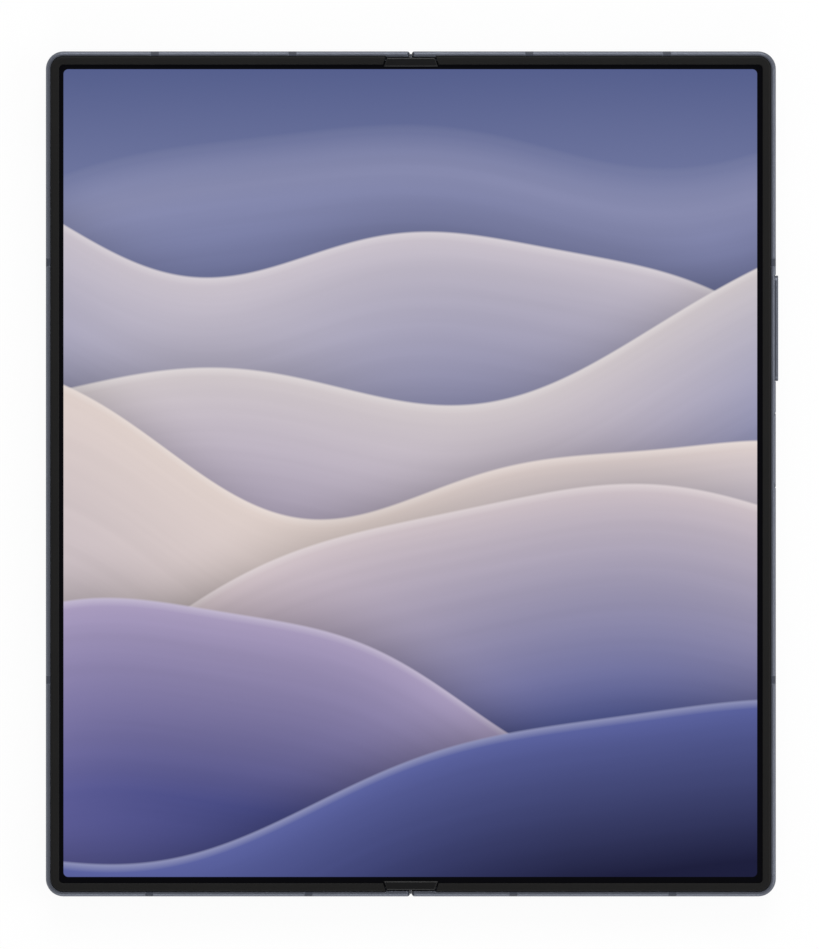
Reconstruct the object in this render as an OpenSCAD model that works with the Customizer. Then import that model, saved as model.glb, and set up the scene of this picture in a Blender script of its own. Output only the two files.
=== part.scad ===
// A book-style folding phone, lying open on its back: screen up, fold along Y.
// Each half turns on its own pivot line in the spine, and small gears keep the two turns equal.
// Heights inside the modules are measured from the back face; stand() lifts the whole phone
// so that the camera rings touch the surface.

/* [Body] */
// Width of the open phone, free edge to free edge
body_w = 132.6; // [130:0.1:138]
// Length of the phone along the fold
body_l = 153.5; // [150:0.1:158]
// Thickness of one half's metal frame
body_t = 5.6; // [5.5:0.05:5.9]
// Radius of the four outer corners
corner_r = 3.2; // [3:0.1:3.6]
// Thickness of the frame's outer wall
wall_t = 1.7; // [1.65:0.05:1.9]
// Width of the metal edge seen round the screen
rim_w = 0.85; // [0.75:0.05:1]
// Radius of the frame's edge at the back
back_edge_r = 0.55; // [0.3:0.05:0.65]
// Radius of the frame's edge at the screen
front_edge_r = 0.6; // [0.3:0.05:0.65]
// Thickness of the plate that carries the screen
mid_t = 0.55; // [0.5:0.05:0.65]

/* [Screen] */
// Thickness of the folding screen with its backing
screen_t = 0.65; // [0.6:0.01:0.68]
// Depth of the screen's seat below the frame's front face
seat_depth = 0.6; // [0.55:0.05:0.65]
// Half width of the band of screen that bends
bend_half = 4.0; // [3.9:0.05:4.2]
// Height of the soft rim above the frame's front face
bezel_rise = 0.4; // [0.35:0.05:0.5]
// Distance from the free edge to the soft rim's inner edge
bezel_in = 2.45; // [2.3:0.05:2.8]
// Gap between the soft rim and the metal edge
bezel_gap = 0.1; // [0.05:0.01:0.15]
// Thickness of the soft rim's lip over the screen's border
lip_t = 0.3; // [0.2:0.02:0.32]
// Gap left between the two soft rims when the phone is shut
closed_gap = 0.1; // [0.05:0.01:0.2]

/* [Back] */
// Thickness of the back glass and of the cover glass
glass_t = 0.5; // [0.4:0.05:0.6]
// Width of the metal edge seen round the glass
glass_in = 0.9; // [0.8:0.05:1]
// Width of the metal strip beside the fold at the back
strip_w = 3.9; // [3.7:0.1:4.4]
// Gap round the glass
glass_gap = 0.05; // [0.02:0.01:0.1]

/* [Hinge] */
// Gap between the two halves at the back when open
centre_gap = 0.36; // [0.2:0.02:0.4]
// How far the spine stands past the halves when shut
spine_proud = 1.8; // [1.7:0.05:1.95]
// Thickness of the frame's skirt under the spine
skirt_t = 0.5; // [0.45:0.01:0.55]
// Gap between the spine and the frames
spine_gap = 0.12; // [0.1:0.01:0.15]
// Wall thickness of the spine's shell
shell_t = 0.5; // [0.4:0.05:0.55]
// Thickness of the frame's wall beside the spine
hinge_wall_t = 0.75; // [0.6:0.05:1]
// Thickness of the frame's end walls over the spine's ends
end_wall_t = 1.0; // [0.95:0.05:1.1]
// Distance of the two rail blocks from the middle
rail_y = 54; // [48:1:58]
// Width of one curved rail along the fold
rail_w = 4.5; // [3.5:0.5:5]
// Inner radius of the curved rails
rail_r = 1.9; // [1.85:0.05:1.95]
// Thickness of the curved rails
rail_t = 0.7; // [0.6:0.05:0.72]
// Running gap of the curved rails
rail_gap = 0.05; // [0.03:0.01:0.08]
// Length of the rails' foot plates
foot_l = 10; // [8.5:0.5:12]
// Thickness of the foot plates
foot_t = 0.8; // [0.7:0.05:0.85]

/* [Gears] */
// Teeth on each of the four gears
gear_teeth = 12; // [12:2:14]
// Pitch radius of the gears
gear_r = 1.0; // [0.95:0.01:1.02]
// Length of the gears
gear_w = 4.8; // [3:0.2:4.8]
// Radius of the gear shafts
shaft_r = 0.4; // [0.3:0.05:0.45]
// Running gap of shafts and pins in their holes
shaft_gap = 0.03; // [0.02:0.01:0.05]
// Radius of the drive pins on the gear arms
pin_r = 0.3; // [0.25:0.01:0.32]
// Thickness of the gear arms along the fold
arm_w = 1.5; // [1:0.1:1.7]

/* [Keys] */
// Middle of the volume key along the side
volume_y = 26.5; // [25:0.5:27]
// Length of the volume key
volume_l = 19.2; // [17:0.1:20]
// How far the volume key stands out
volume_proud = 0.5; // [0.2:0.02:0.6]
// Middle of the side key along the side
side_y = 4.3; // [2:0.5:5]
// Length of the side key
side_l = 13.5; // [12:0.1:14]
// How far the side key stands out
side_proud = 0.05; // [0:0.05:0.2]
// Height of both keys
key_h = 2.2; // [1.8:0.1:2.6]
// Gap round the keys
key_gap = 0.1; // [0.06:0.02:0.16]
// Depth of the recess in the frame's edge over each key, seen from the front
key_scoop = 0.25; // [0.1:0.05:0.4]
// Travel of the keys
key_travel = 0.25; // [0.2:0.01:0.3]

/* [Cameras] */
// Width of the raised camera island
island_w = 18.6; // [17:0.2:20]
// Length of the island
island_l = 51.4; // [50:0.2:53]
// Corner radius of the island
island_r = 8.6; // [7:0.1:8.8]
// Height of the island above the glass
island_h = 0.8; // [0.6:0.05:1.1]
// Distance from the free edges to the island
island_in = 5.0; // [4:0.1:6]
// Spacing of the three cameras
camera_pitch = 16.4; // [15:0.1:16.6]
// Outer radius of a lens ring
ring_r = 6.7; // [6:0.1:7]
// Height of a lens ring above the island
ring_h = 0.8; // [0.65:0.05:1]
// Radius of a lens glass
lens_r = 5.4; // [5:0.1:5.6]
// Thickness of a lens glass
lens_t = 0.4; // [0.3:0.02:0.45]

/* [Ports] */
// Width of an antenna band
band_w = 1.45; // [1:0.05:2]
// Middle of the charging socket along the bottom
socket_x = 33.2; // [31:0.2:36]
// Inner width of the charging socket
socket_w = 8.34; // [8.2:0.01:8.5]
// Inner height of the charging socket
socket_h = 2.56; // [2.4:0.01:2.6]
// Middle of the card tray along the left side
tray_y = -20; // [-24:1:-16]
// Length of the card tray's face
tray_l = 15.4; // [15:0.1:16.4]
// Height of the card tray's face
tray_h = 1.9; // [1.7:0.05:2.2]
// Depth of the card tray
tray_d = 13.6; // [13:0.1:14.5]
// Gap round the card tray
tray_gap = 0.08; // [0.05:0.01:0.12]

/* [Hidden] */
$fn = 64;

// Colours, as the photograph shows them
c_frame = "#4a4e5c";
c_rim = "#232323";
c_black = "#101014";
c_glass = "#2b3046";
c_screen = "#7f86b0";
c_steel = "#9a9ca3";
c_brass = "#b08d57";
c_board = "#1f4a36";
c_cell = "#3a3c40";

// Heights above the back face
seat_z = body_t - seat_depth;         // the screen's seat
mid_z = seat_z - mid_t;               // underside of the plate that carries the screen
screen_z = seat_z + screen_t;         // the screen's face
bezel_z = body_t + bezel_rise;        // top of the soft rim
shut_z = bezel_z + closed_gap / 2;    // plane on which the two halves meet when shut
spine_z = skirt_t + spine_gap;        // underside of the spine
lift = island_h + ring_h;             // the camera rings carry the phone

// The two pivot lines: at (pivot_x, pivot_z) for the right half, and at (-pivot_x, pivot_z) for the left.
// Half a turn about them brings the soft rims together and leaves the spine standing proud.
pivot_z = (shut_z + spine_proud + spine_z) / 2;
pivot_x = (shut_z - spine_proud - spine_z) / 2;
spine_r = pivot_z - spine_z;          // outer radius of the spine about each pivot line
bore_r = spine_r - shell_t;           // inner radius of the spine
sweep_r = spine_r + spine_gap;        // radius of the hollow in each frame
block_gap = 0.05;                     // gap between the blocks in the spine and its shell
block_r = bore_r - block_gap;
foot_z = mid_z - foot_t;              // underside of the foot plates
shell_top = foot_z - 0.15;            // top of the spine's side walls
block_top = mid_z - 0.1;              // top of the blocks inside the spine
wall_x = pivot_x + sweep_r + hinge_wall_t;   // inner face of the frame's wall beside the spine
mid_x = bend_half + 0.2;              // where the plate under the screen begins
half_w = body_w / 2;
half_l = body_l / 2;
gap_x = centre_gap / 2;
zone_y = half_l - end_wall_t;         // inner face of the end walls
spine_y = zone_y - 0.1;               // end of the spine
screen_x = half_w - wall_t;           // the screen's free edge
screen_y = half_l - wall_t;
screen_r = corner_r - wall_t;
wall_in_x = half_w - wall_t;          // inner faces of the outer wall
wall_in_y = half_l - wall_t;
overlap = 0.2;                        // how far joined shapes reach into each other
pass_gap = 0.06;                      // how far each half stays off the middle while it turns
seat_gap = 0.05;                      // gap round what is glued or laid in its seat

// Caps over the screen's ends at the fold
cap_gap = 0.25;
cap_out = end_wall_t + 0.17;          // distance of the cap's outer edge from the frame's end
cap_in = bezel_in + 0.4;              // distance of its inner edge
cap_half_out = bend_half + 0.4;
cap_half_in = bend_half + 0.95;

// Antenna bands, as distances from the middle
bands_top = [21.5, 46.5];
bands_bottom = [18.6, 47.5];
bands_side = [38.4, -37.4];

// Gear train: four equal gears in a row across the spine
gear_z = (spine_z + shell_t + mid_z) / 2 + 0.2;
sync_x = 3 * gear_r;
idler_x = gear_r;
gear_y = [-1.2 - gear_w, -1.2];
arm_y = [1.5, 1.5 + arm_w];
rib_y = [arm_y[1] + 0.3, arm_y[1] + 1.3];
house_y = 8;
plate_w = 1.2;
// The drive pin follows a quarter circle in the frame's rib, because frame and gear turn alike
// about lines that lie apart by this much
pin_dx = sync_x - pivot_x;
pin_dz = gear_z - pivot_z;
pin_path_r = norm([pin_dx, pin_dz]);
pin_path_a = atan2(pin_dz, pin_dx);
pin_path_w = pin_path_r * (cos(pin_path_a) - cos(pin_path_a - 90));
pin_slot_r = pin_r + shaft_gap;
arm_top = mid_z - 0.25;
arm_bottom = shell_top + 0.12;
pin_x = wall_x + 0.3 + pin_slot_r + pin_path_w;
pin_z = (arm_top + arm_bottom) / 2;
rib_x = pin_x + pin_slot_r + 0.6;     // free end of the frame's rib
// The arm sinks this far in the frame on its way round
arm_dip = pin_path_r * (1 - cos(45)) + 0.02;

// Side keys and what is behind them
key_z = 2.9;
key_flange_t = 0.5;
key_flange_gap = 0.3;
key_flange_reach = 0.7;
bracket_t = 0.8;
dome_h = 0.5;
dome_gap = key_travel + 0.05;
flange_x = wall_in_x - key_flange_gap;
dome_x = flange_x - key_flange_t - dome_gap;
bracket_x = dome_x - dome_h;
dome_reach = 6.6;

// Cameras
camera_x = half_w - island_in - island_w / 2;
camera_y = half_l - island_in - 0.5 - island_l / 2;
barrel_r = [3.5, 4.5, 3.9];
module_w = 10.8;
ring_bore_r = lens_r - 0.45;
island_flange = 0.8;                  // reach of the island's flange inside the glass
island_flange_t = 0.3;
flash_r = 2.3;
flash_x = camera_x - island_w / 2 - 4.6;
flash_y = camera_y + 9;
selfie_x = half_w / 2;
selfie_y = half_l - 7;
selfie_r = 2.2;
cover_cam_x = -(wall_x + wall_in_x) / 2;
cover_cam_y = half_l - 6.2;
cover_cam_r = 1.8;
cover_display_t = 0.8;
cover_display_z = glass_t + cover_display_t;

// Rails of the two halves lie side by side in each block
rail_step = rail_w / 2 + 1.5;
rail_tail = -138;
foot_gap_y = rail_step + rail_w / 2 + 0.3 - rail_y;   // above the lower feet

// Ribbon cables across the fold
cable_y = [-26, 26];
cable_w = 11;
cable_t = 0.15;

// Charging socket and the sockets, slots and holes of the ends
socket_wall = 0.3;
socket_l = 7.3;
socket_in = 0.4;
slot_r = 0.55;
slot_l = 2.2;
slot_pitch = 2.7;
slots_n = 4;
speaker_x = half_w - 11.3;
speaker_reach = [8.5, 7.5];           // from the middle of its slots, towards the fold and away from it
speaker_d = 11;
mic_r = 0.45;
mic_at = [socket_x - 10.7, socket_x - 8.2];
port_z = 2.7;

// Boards, cells and other pieces inside
coil_t = 0.5;
coil_r = 20;
coil_bore_r = 9;
cell_x = rib_x + 0.5;                 // the cells' edge beside the fold
cell_y = foot_gap_y;                  // the cells' lower edge
cell_right_top = camera_y - island_l / 2 - 0.85;
cell_left_top = half_l - 43.75;
battery_right_box = [[cell_x, cell_y, glass_t + coil_t], [half_w - 6.3, cell_right_top, mid_z]];
battery_left_box = [[tray_d + 3.2 - half_w, cell_y, cover_display_z + 0.05], [-cell_x, cell_left_top, mid_z]];
board_x = wall_x + foot_l - 2;        // the boards' edge beside the fold
board_z = mid_z - 0.55;
board_t = 0.8;
shield_t = 1.2;
main_board_box = [board_x, cell_right_top + 3, camera_x - island_w / 2 + 1.8, half_l - 12.5];
left_board_box = [4.3 - half_w, cell_left_top + 3, -board_x, half_l - 13.5];
sub_board_box = [board_x, 4 - half_l, speaker_x - speaker_reach[0] - 4.5, cell_y - 6.05];
sub_board_t = 0.6;
boss_r = 1.5;
screw_r = 0.5;
screw_head_r = 0.95;
screw_head_h = 0.4;
screw_gap = 0.02;
sub_board_z = glass_t + screw_head_h + 0.1;
screw_in = 2.5;                       // distance of a board's screws from its edges
main_screws = [for (p = [[0, 1], [2, 1], [0, 3]]) inside_corner(main_board_box, p, screw_in)];
left_screws_at = [for (p = [[0, 1], [2, 1], [2, 3]]) inside_corner(left_board_box, p, screw_in)];
sub_screws = [for (p = [[0, 3], [2, 3]]) inside_corner(sub_board_box, p, screw_in)];
foot_screws = [wall_x + 1.7, wall_x + 5.3];

// Magnets that hold the phone shut, along the free edge
magnets_y = [-66, -9, 50];
magnet_w = 1.5;
magnet_l = 5.5;

// Card tray
tray_z = 2.75;
tray_face_t = 0.9;
tray_plate_t = 0.8;
tray_plate_w = tray_l - 1.6;
cage_wall = 0.3;

// Point inside a corner of a box [x0, y0, x1, y1]; at holds the indices of the corner's x and y
function inside_corner(b, at, d) =
    [b[at[0]] + (at[0] == 0 ? d : -d), b[at[1]] + (at[1] == 1 ? d : -d)];

// ---------------------------------------------------------------- helpers

// Lifts the phone so that its camera rings stand on the surface
module stand() translate([0, 0, lift]) children();

// Draws its children as they are on the right, or mirrored on the left
module on_side(left) {
    if (left) mirror([1, 0, 0]) children();
    else children();
}

module box(lo, hi) translate(lo) cube(hi - lo);

// Rod along Y about the line x = z = 0
module rod(r, y0, y1) translate([0, y1, 0]) rotate([90, 0, 0]) cylinder(r = r, h = y1 - y0);

// Flat outline in X and Z, made solid from y0 to y1
module slab(y0, y1) translate([0, y1, 0]) rotate([90, 0, 0]) linear_extrude(y1 - y0) children();

// Part of a flat ring, from angle a0 to a1
module arc_band(r0, r1, a0, a1) intersection() {
    difference() {
        circle(r1);
        circle(r0);
    }
    polygon(concat([[0, 0]], arc_points(0, 0, 2 * r1, a0, a1, 4)));
}

// Rectangle with round corners, from corner to corner
module round_rect(x0, y0, x1, y1, r) {
    translate([x0 + r, y0]) square([x1 - x0 - 2 * r, y1 - y0]);
    translate([x0, y0 + r]) square([x1 - x0, y1 - y0 - 2 * r]);
    for (x = [x0 + r, x1 - r], y = [y0 + r, y1 - r]) translate([x, y]) circle(r);
}

function arc_points(cx, cy, r, a0, a1, n) =
    [for (i = [0:n]) [cx + r * cos(a0 + (a1 - a0) * i / n), cy + r * sin(a0 + (a1 - a0) * i / n)]];

// Sweeps a profile of [distance from the free edge, height] along the right half's three free sides
module sweep_rim(profile, from_x) {
    cx = half_w - corner_r;
    cy = half_l - corner_r;
    outline = [for (p = profile) [corner_r - p[0], p[1]]];
    for (m = [0, 1]) mirror([0, m, 0]) {
        translate([cx, cy, 0]) rotate_extrude(angle = 90) polygon(outline);
        translate([from_x, cy, 0]) rotate([90, 0, 90]) linear_extrude(cx - from_x) polygon(outline);
    }
    translate([cx, cy, 0]) rotate([90, 0, 0]) linear_extrude(2 * cy) polygon(outline);
}

// Two circles about the pivot lines, joined, down to the flat under them
module spine_outline(r, top) {
    intersection() {
        union() {
            for (s = [-1, 1]) translate([s * pivot_x, pivot_z]) circle(r);
            translate([-pivot_x, pivot_z - r]) square([2 * pivot_x, 2 * r]);
        }
        translate([-half_w, 0]) square([body_w, top]);
    }
}

// ---------------------------------------------------------------- frames

// Outer wall: round edges, a step for the glass at the back and one for the soft rim in front
wall_profile = concat(
    [[glass_in, 0], [glass_in, glass_t], [wall_t, glass_t]],
    [[wall_t, seat_z], [rim_w, seat_z], [rim_w, body_t]],
    arc_points(front_edge_r, body_t - front_edge_r, front_edge_r, 90, 180, 4),
    arc_points(back_edge_r, back_edge_r, back_edge_r, 180, 270, 5));

// End wall over the spine's end: as thick as the gap beside the spine allows
end_profile = concat(
    [[end_wall_t, 0], [end_wall_t, body_t]],
    arc_points(front_edge_r, body_t - front_edge_r, front_edge_r, 90, 180, 4),
    arc_points(back_edge_r, back_edge_r, back_edge_r, 180, 270, 5));

module end_walls() {
    cy = half_l - corner_r;
    outline = [for (p = end_profile) [corner_r - p[0], p[1]]];
    notch_r = 0.5;
    for (m = [0, 1]) mirror([0, m, 0]) difference() {
        translate([gap_x, cy, 0]) rotate([90, 0, 90]) linear_extrude(wall_x - gap_x) polygon(outline);
        // the corner beside the fold is rounded
        translate([gap_x, half_l, -1]) difference() {
            translate([-1, -notch_r, 0]) cube([1 + notch_r, 1 + notch_r, body_t + 2]);
            translate([notch_r, -notch_r, -1]) cylinder(r = notch_r, h = body_t + 4);
        }
        // above the pivot line it keeps to an arc, so that the two halves can pass each other
        slab(zone_y - 1, half_l + 1) difference() {
            translate([-1, pivot_z]) square([1 + pivot_x, body_t]);
            translate([pivot_x, pivot_z]) circle(pivot_x - pass_gap);
        }
        // room for the soft rim
        box([cap_half_out, zone_y - 1, seat_z], [wall_x + 1, half_l - rim_w, body_t + 1]);
        // seat of the glass
        box([strip_w, zone_y - 1, -1], [wall_x + 1, half_l - glass_in, glass_t]);
    }
}

// Skirt under the spine, and the hollow wall beside it
module hinge_wall_outline() {
    difference() {
        translate([gap_x, 0]) square([wall_x - gap_x, mid_z + overlap]);
        translate([pivot_x, pivot_z]) circle(sweep_r);
        translate([-1, skirt_t]) square([1 + pivot_x, body_t]);
        translate([-1, pivot_z]) square([pivot_x + sweep_r + 1, body_t]);
        // seat of the glass
        translate([strip_w, -1]) square([half_w, 1 + glass_t]);
    }
}

module mid_plate() {
    box([mid_x, -(wall_in_y + overlap), mid_z], [wall_in_x + overlap, wall_in_y + overlap, seat_z]);
}

// Openings for the rails' feet, the gear arms and the ribbon cable in the wall beside the spine
module hinge_openings(left) {
    x0 = pivot_x + bore_r;
    for (s = [-1, 1]) {
        y = rail_middle(s, left);
        box([x0, y - rail_w / 2 - 0.15, foot_z - 0.1], [wall_x + 1, y + rail_w / 2 + 0.15, mid_z]);
    }
    box([x0, arm_y[0] - 0.2, arm_bottom - arm_dip - 0.1], [wall_x + 1, arm_y[1] + 0.2, mid_z]);
    for (y = cable_y)
        box([x0, y - cable_w / 2 - 0.5, shell_top], [wall_x + 1, y + cable_w / 2 + 0.5, mid_z]);
}

// Rib with the quarter-circle slot for the gear arm's pin
module sync_rib() {
    cx = pin_x - pin_dx;
    cz = pin_z - pin_dz;
    a0 = pin_path_a - 90;
    low = cz - pin_path_r - pin_slot_r - 0.4;
    slab(rib_y[0], rib_y[1]) difference() {
        translate([wall_x - overlap, low]) square([rib_x - wall_x + overlap, mid_z + overlap - low]);
        translate([cx, cz]) {
            arc_band(pin_path_r - pin_slot_r, pin_path_r + pin_slot_r, a0, pin_path_a);
            for (a = [a0, pin_path_a]) translate(pin_path_r * [cos(a), sin(a)]) circle(pin_slot_r);
        }
    }
}

// Blank of one half's frame, drawn for the right
module frame_blank(left) {
    difference() {
        union() {
            sweep_rim(wall_profile, wall_x);
            end_walls();
            mid_plate();
            slab(-(zone_y + overlap), zone_y + overlap) hinge_wall_outline();
        }
        hinge_openings(left);
        bands();
        // holes for the screws of the rails' feet
        for (s = [-1, 1], x = foot_screws) translate([x, rail_middle(s, left), mid_z - 1])
            cylinder(r = screw_r + screw_gap, h = 1 + mid_t - 0.1);
    }
    sync_rib();
}

// Where the antenna bands cross the outer wall, on the right
module bands() {
    half = band_w / 2;
    for (x = bands_top) box([x - half, wall_in_y, -1], [x + half, half_l + 1, body_t + 1]);
    for (x = bands_bottom) box([x - half, -half_l - 1, -1], [x + half, -wall_in_y, body_t + 1]);
    for (y = bands_side) box([wall_in_x, y - half, -1], [half_w + 1, y + half, body_t + 1]);
}

module antenna_bands() intersection() {
    sweep_rim(wall_profile, wall_x);
    bands();
}

// Stadium-shaped hole through an end wall, standing on the long way along X
module end_slot(x, z, l, r, out) {
    for (s = [-1, 1]) translate([x + s * (l / 2 - r), 0, z]) rod(r, out[0], out[1]);
    box([x - l / 2 + r, out[0], z - r], [x + l / 2 - r, out[1], z + r]);
}

module speaker_slots(out) {
    for (i = [0:slots_n - 1])
        end_slot(speaker_x + (i - (slots_n - 1) / 2) * slot_pitch, port_z, slot_l, slot_r, out);
}

module boss(at, bottom) translate([at[0], at[1], bottom]) difference() {
    cylinder(r = boss_r, h = mid_z + overlap - bottom);
    translate([0, 0, -1]) cylinder(r = screw_r + screw_gap, h = 1 + mid_z - bottom);
}

// Slot through the side wall for a key: straight sides and round ends
module key_hole(y, l, grow, x0, x1) {
    r = key_h / 2 + grow;
    for (s = [-1, 1]) translate([x0, y + s * (l - key_h) / 2, key_z])
        rotate([0, 90, 0]) cylinder(r = r, h = x1 - x0);
    box([x0, y - l / 2 + key_h / 2, key_z - r], [x1, y + l / 2 - key_h / 2, key_z + r]);
}

// Recess over a key, from its middle up to the front face, so that the key shows from the front
module key_scoop_cut(y, l) {
    reach = l / 2 + key_gap;
    box([half_w - key_scoop, y - reach, key_z], [half_w + 1, y + reach, body_t + 1]);
}

module right_frame() color(c_frame) {
    bottom_out = [-half_l - 1, -wall_in_y + 0.5];
    top_out = [wall_in_y - 0.5, half_l + 1];
    difference() {
        union() {
            frame_blank(false);
            for (p = main_screws) boss(p, board_z);
            for (p = sub_screws) boss(p, sub_board_z + sub_board_t);
        }
        key_hole(volume_y, volume_l, key_gap, wall_in_x - 0.5, half_w + 1);
        key_hole(side_y, side_l, key_gap, wall_in_x - 0.5, half_w + 1);
        key_scoop_cut(volume_y, volume_l);
        key_scoop_cut(side_y, side_l);
        socket_shape(socket_wall + screw_gap, bottom_out[0], bottom_out[1]);
        speaker_slots(bottom_out);
        for (x = mic_at) translate([x, 0, port_z]) rod(mic_r, bottom_out[0], bottom_out[1]);
        translate([selfie_x, 0, port_z]) rod(mic_r, top_out[0], top_out[1]);
        translate([selfie_x, selfie_y, mid_z - 1]) cylinder(r = selfie_r + 0.1, h = 3);
    }
}

module left_frame() color(c_frame) {
    top_out = [wall_in_y - 0.5, half_l + 1];
    bottom_out = [-half_l - 1, -wall_in_y + 0.5];
    difference() {
        union() {
            on_side(true) frame_blank(true);
            for (p = left_screws_at) boss(p, board_z);
        }
        on_side(true) speaker_slots(top_out);
        translate([cover_cam_x, 0, port_z]) rod(mic_r, top_out[0], top_out[1]);
        translate([-25, 0, port_z]) rod(mic_r, bottom_out[0], bottom_out[1]);
        tray_shape(tray_l, tray_h / 2, tray_gap, -half_w - 1, -wall_in_x + 0.5);
    }
}

// ---------------------------------------------------------------- soft rims and screen

bezel_top_r = 0.2;
bezel_profile = [
    [rim_w + bezel_gap, seat_z], [wall_t - bezel_gap, seat_z], [wall_t - bezel_gap, bezel_z - lip_t],
    [bezel_in, bezel_z - lip_t], [bezel_in, bezel_z - bezel_top_r / 2], [bezel_in - bezel_top_r, bezel_z],
    [rim_w + bezel_gap + 0.35, bezel_z], [rim_w + bezel_gap, bezel_z - 0.3]];

// Slanted end of the soft rim beside the cap, as a cut from the fold outwards
module cap_cut(grow) for (m = [0, 1]) mirror([0, m, 0])
    translate([0, 0, seat_z - 1]) linear_extrude(3) polygon([
        [-1, half_l + 1], [cap_half_out + grow, half_l + 1], [cap_half_out + grow, half_l - cap_out],
        [cap_half_in + grow, half_l - cap_in], [cap_half_in + grow, half_l - cap_in - 1],
        [-1, half_l - cap_in - 1]]);

module soft_rim() color(c_rim) difference() {
    sweep_rim(bezel_profile, cap_half_out);
    cap_cut(cap_gap);
}

module screen_half() color(c_screen) translate([0, 0, seat_z]) linear_extrude(screen_t) difference() {
    round_rect(-screen_x, -screen_y, screen_x, screen_y, screen_r);
    translate([-body_w, -body_l]) square([body_w + bend_half, 2 * body_l]);
}

module display_fold() color(c_screen)
    box([-bend_half, -screen_y, seat_z], [bend_half, screen_y, screen_z]);

module bezel_cap(bottom) color(c_rim) mirror([0, bottom ? 1 : 0, 0])
    translate([0, 0, screen_z]) linear_extrude(bezel_z - screen_z - 0.02) polygon([
        [-cap_half_out, half_l - cap_out], [cap_half_out, half_l - cap_out],
        [cap_half_in, half_l - cap_in], [-cap_half_in, half_l - cap_in]]);

// ---------------------------------------------------------------- back glass and cameras

module glass_outline() difference() {
    round_rect(-half_w, -half_l + glass_in + glass_gap, half_w - glass_in - glass_gap,
        half_l - glass_in - glass_gap, corner_r - glass_in - glass_gap);
    translate([-body_w, -body_l]) square([body_w + strip_w + glass_gap, 2 * body_l]);
}

module island_outline(shrink) round_rect(
    camera_x - island_w / 2 + shrink, camera_y - island_l / 2 + shrink,
    camera_x + island_w / 2 - shrink, camera_y + island_l / 2 - shrink, island_r - shrink);

module rear_glass() color(c_glass) linear_extrude(glass_t) difference() {
    glass_outline();
    island_outline(-glass_gap);
    translate([flash_x, flash_y]) circle(flash_r + glass_gap);
}

module cover_glass() color(c_black) on_side(true) linear_extrude(glass_t) glass_outline();

// Raised island: it stands in its hole in the glass, a flange inside is glued to the glass,
// and three bores hold the cameras
module camera_island() color(c_frame) difference() {
    union() {
        translate([0, 0, -island_h]) linear_extrude(island_h + glass_t) island_outline(0);
        translate([0, 0, glass_t]) linear_extrude(island_flange_t) island_outline(-island_flange);
    }
    for (i = [-1, 0, 1]) translate([camera_x, camera_y + i * camera_pitch, -island_h - 1])
        cylinder(r = ring_bore_r, h = glass_t + island_h + 2);
}

// i is 1 for the top camera, 0 for the middle one and -1 for the bottom one
module at_camera(i) translate([camera_x, camera_y + i * camera_pitch, 0]) children();

module camera_ring(i) color(c_steel) at_camera(i) translate([0, 0, -island_h]) rotate_extrude() polygon([
    [lens_r + 0.05, 0], [ring_r, 0], [ring_r, -ring_h + 0.2], [ring_r - 0.2, -ring_h],
    [lens_r - 0.25, -ring_h], [lens_r - 0.35, -ring_h + 0.1], [lens_r - 0.35, -ring_h + 0.2],
    [lens_r + 0.05, -ring_h + 0.2]]);

module camera_glass(i) color(c_black) at_camera(i)
    translate([0, 0, -island_h - ring_h + 0.2]) cylinder(r = lens_r, h = lens_t);

module camera_module(i) color(c_black) at_camera(i) {
    r = barrel_r[1 - i];
    low = -island_h - ring_h + 0.2 + lens_t;
    translate([0, 0, low]) difference() {
        cylinder(r = r, h = mid_z - 1 - low);
        translate([0, 0, -0.1]) cylinder(r1 = r * 0.75, r2 = r * 0.45, h = 0.7);
    }
    box([-module_w / 2, -module_w / 2, glass_t + 0.5], [module_w / 2, module_w / 2, mid_z]);
}

module flash_module() color("#e8dfb8") translate([flash_x, flash_y, 0]) {
    cylinder(r = flash_r, h = glass_t);
    stem_h = board_z - board_t - shield_t - glass_t;
    translate([0, 0, glass_t - 0.1]) cylinder(r = flash_r - 0.4, h = stem_h + 0.1);
}

module under_display_camera() color(c_black) translate([selfie_x, selfie_y, 0]) {
    cylinder_z = mid_z - 0.6;
    translate([0, 0, cylinder_z]) cylinder(r = selfie_r, h = seat_z - cylinder_z - 0.05);
    box([-3.2, -3.2, cylinder_z - 2], [3.2, 3.2, mid_z]);
}

module cover_camera() color(c_black) translate([cover_cam_x, cover_cam_y, 0]) {
    translate([0, 0, glass_t]) cylinder(r = cover_cam_r, h = 2);
    box([-3, -3, cover_display_z], [3, 3, mid_z]);
}

// ---------------------------------------------------------------- cells, boards and sound

module cover_display() color(c_black) translate([0, 0, glass_t]) linear_extrude(cover_display_t)
    difference() {
        on_side(true) round_rect(wall_x + 0.2, 0.1 - wall_in_y, wall_in_x - 0.1, wall_in_y - 0.1, screen_r);
        translate([cover_cam_x, cover_cam_y]) circle(cover_cam_r + 0.1);
    }

module cell(b) color(c_cell) {
    lo = b[0];
    hi = b[1];
    difference() {
        translate([0, 0, lo[2]]) linear_extrude(hi[2] - lo[2]) round_rect(lo[0], lo[1], hi[0], hi[1], 2);
        // step at the top end, where the protection board lies
        box([lo[0] - 1, hi[1] - 4, lo[2] - 1], [hi[0] + 1, hi[1] + 1, lo[2] + 0.6]);
    }
}

module board(b, screws) color(c_board) difference() {
    translate([0, 0, board_z - board_t]) linear_extrude(board_t) difference() {
        round_rect(b[0], b[1], b[2], b[3], 1);
        for (p = screws) translate(p) circle(screw_r + 0.1);
    }
}

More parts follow.
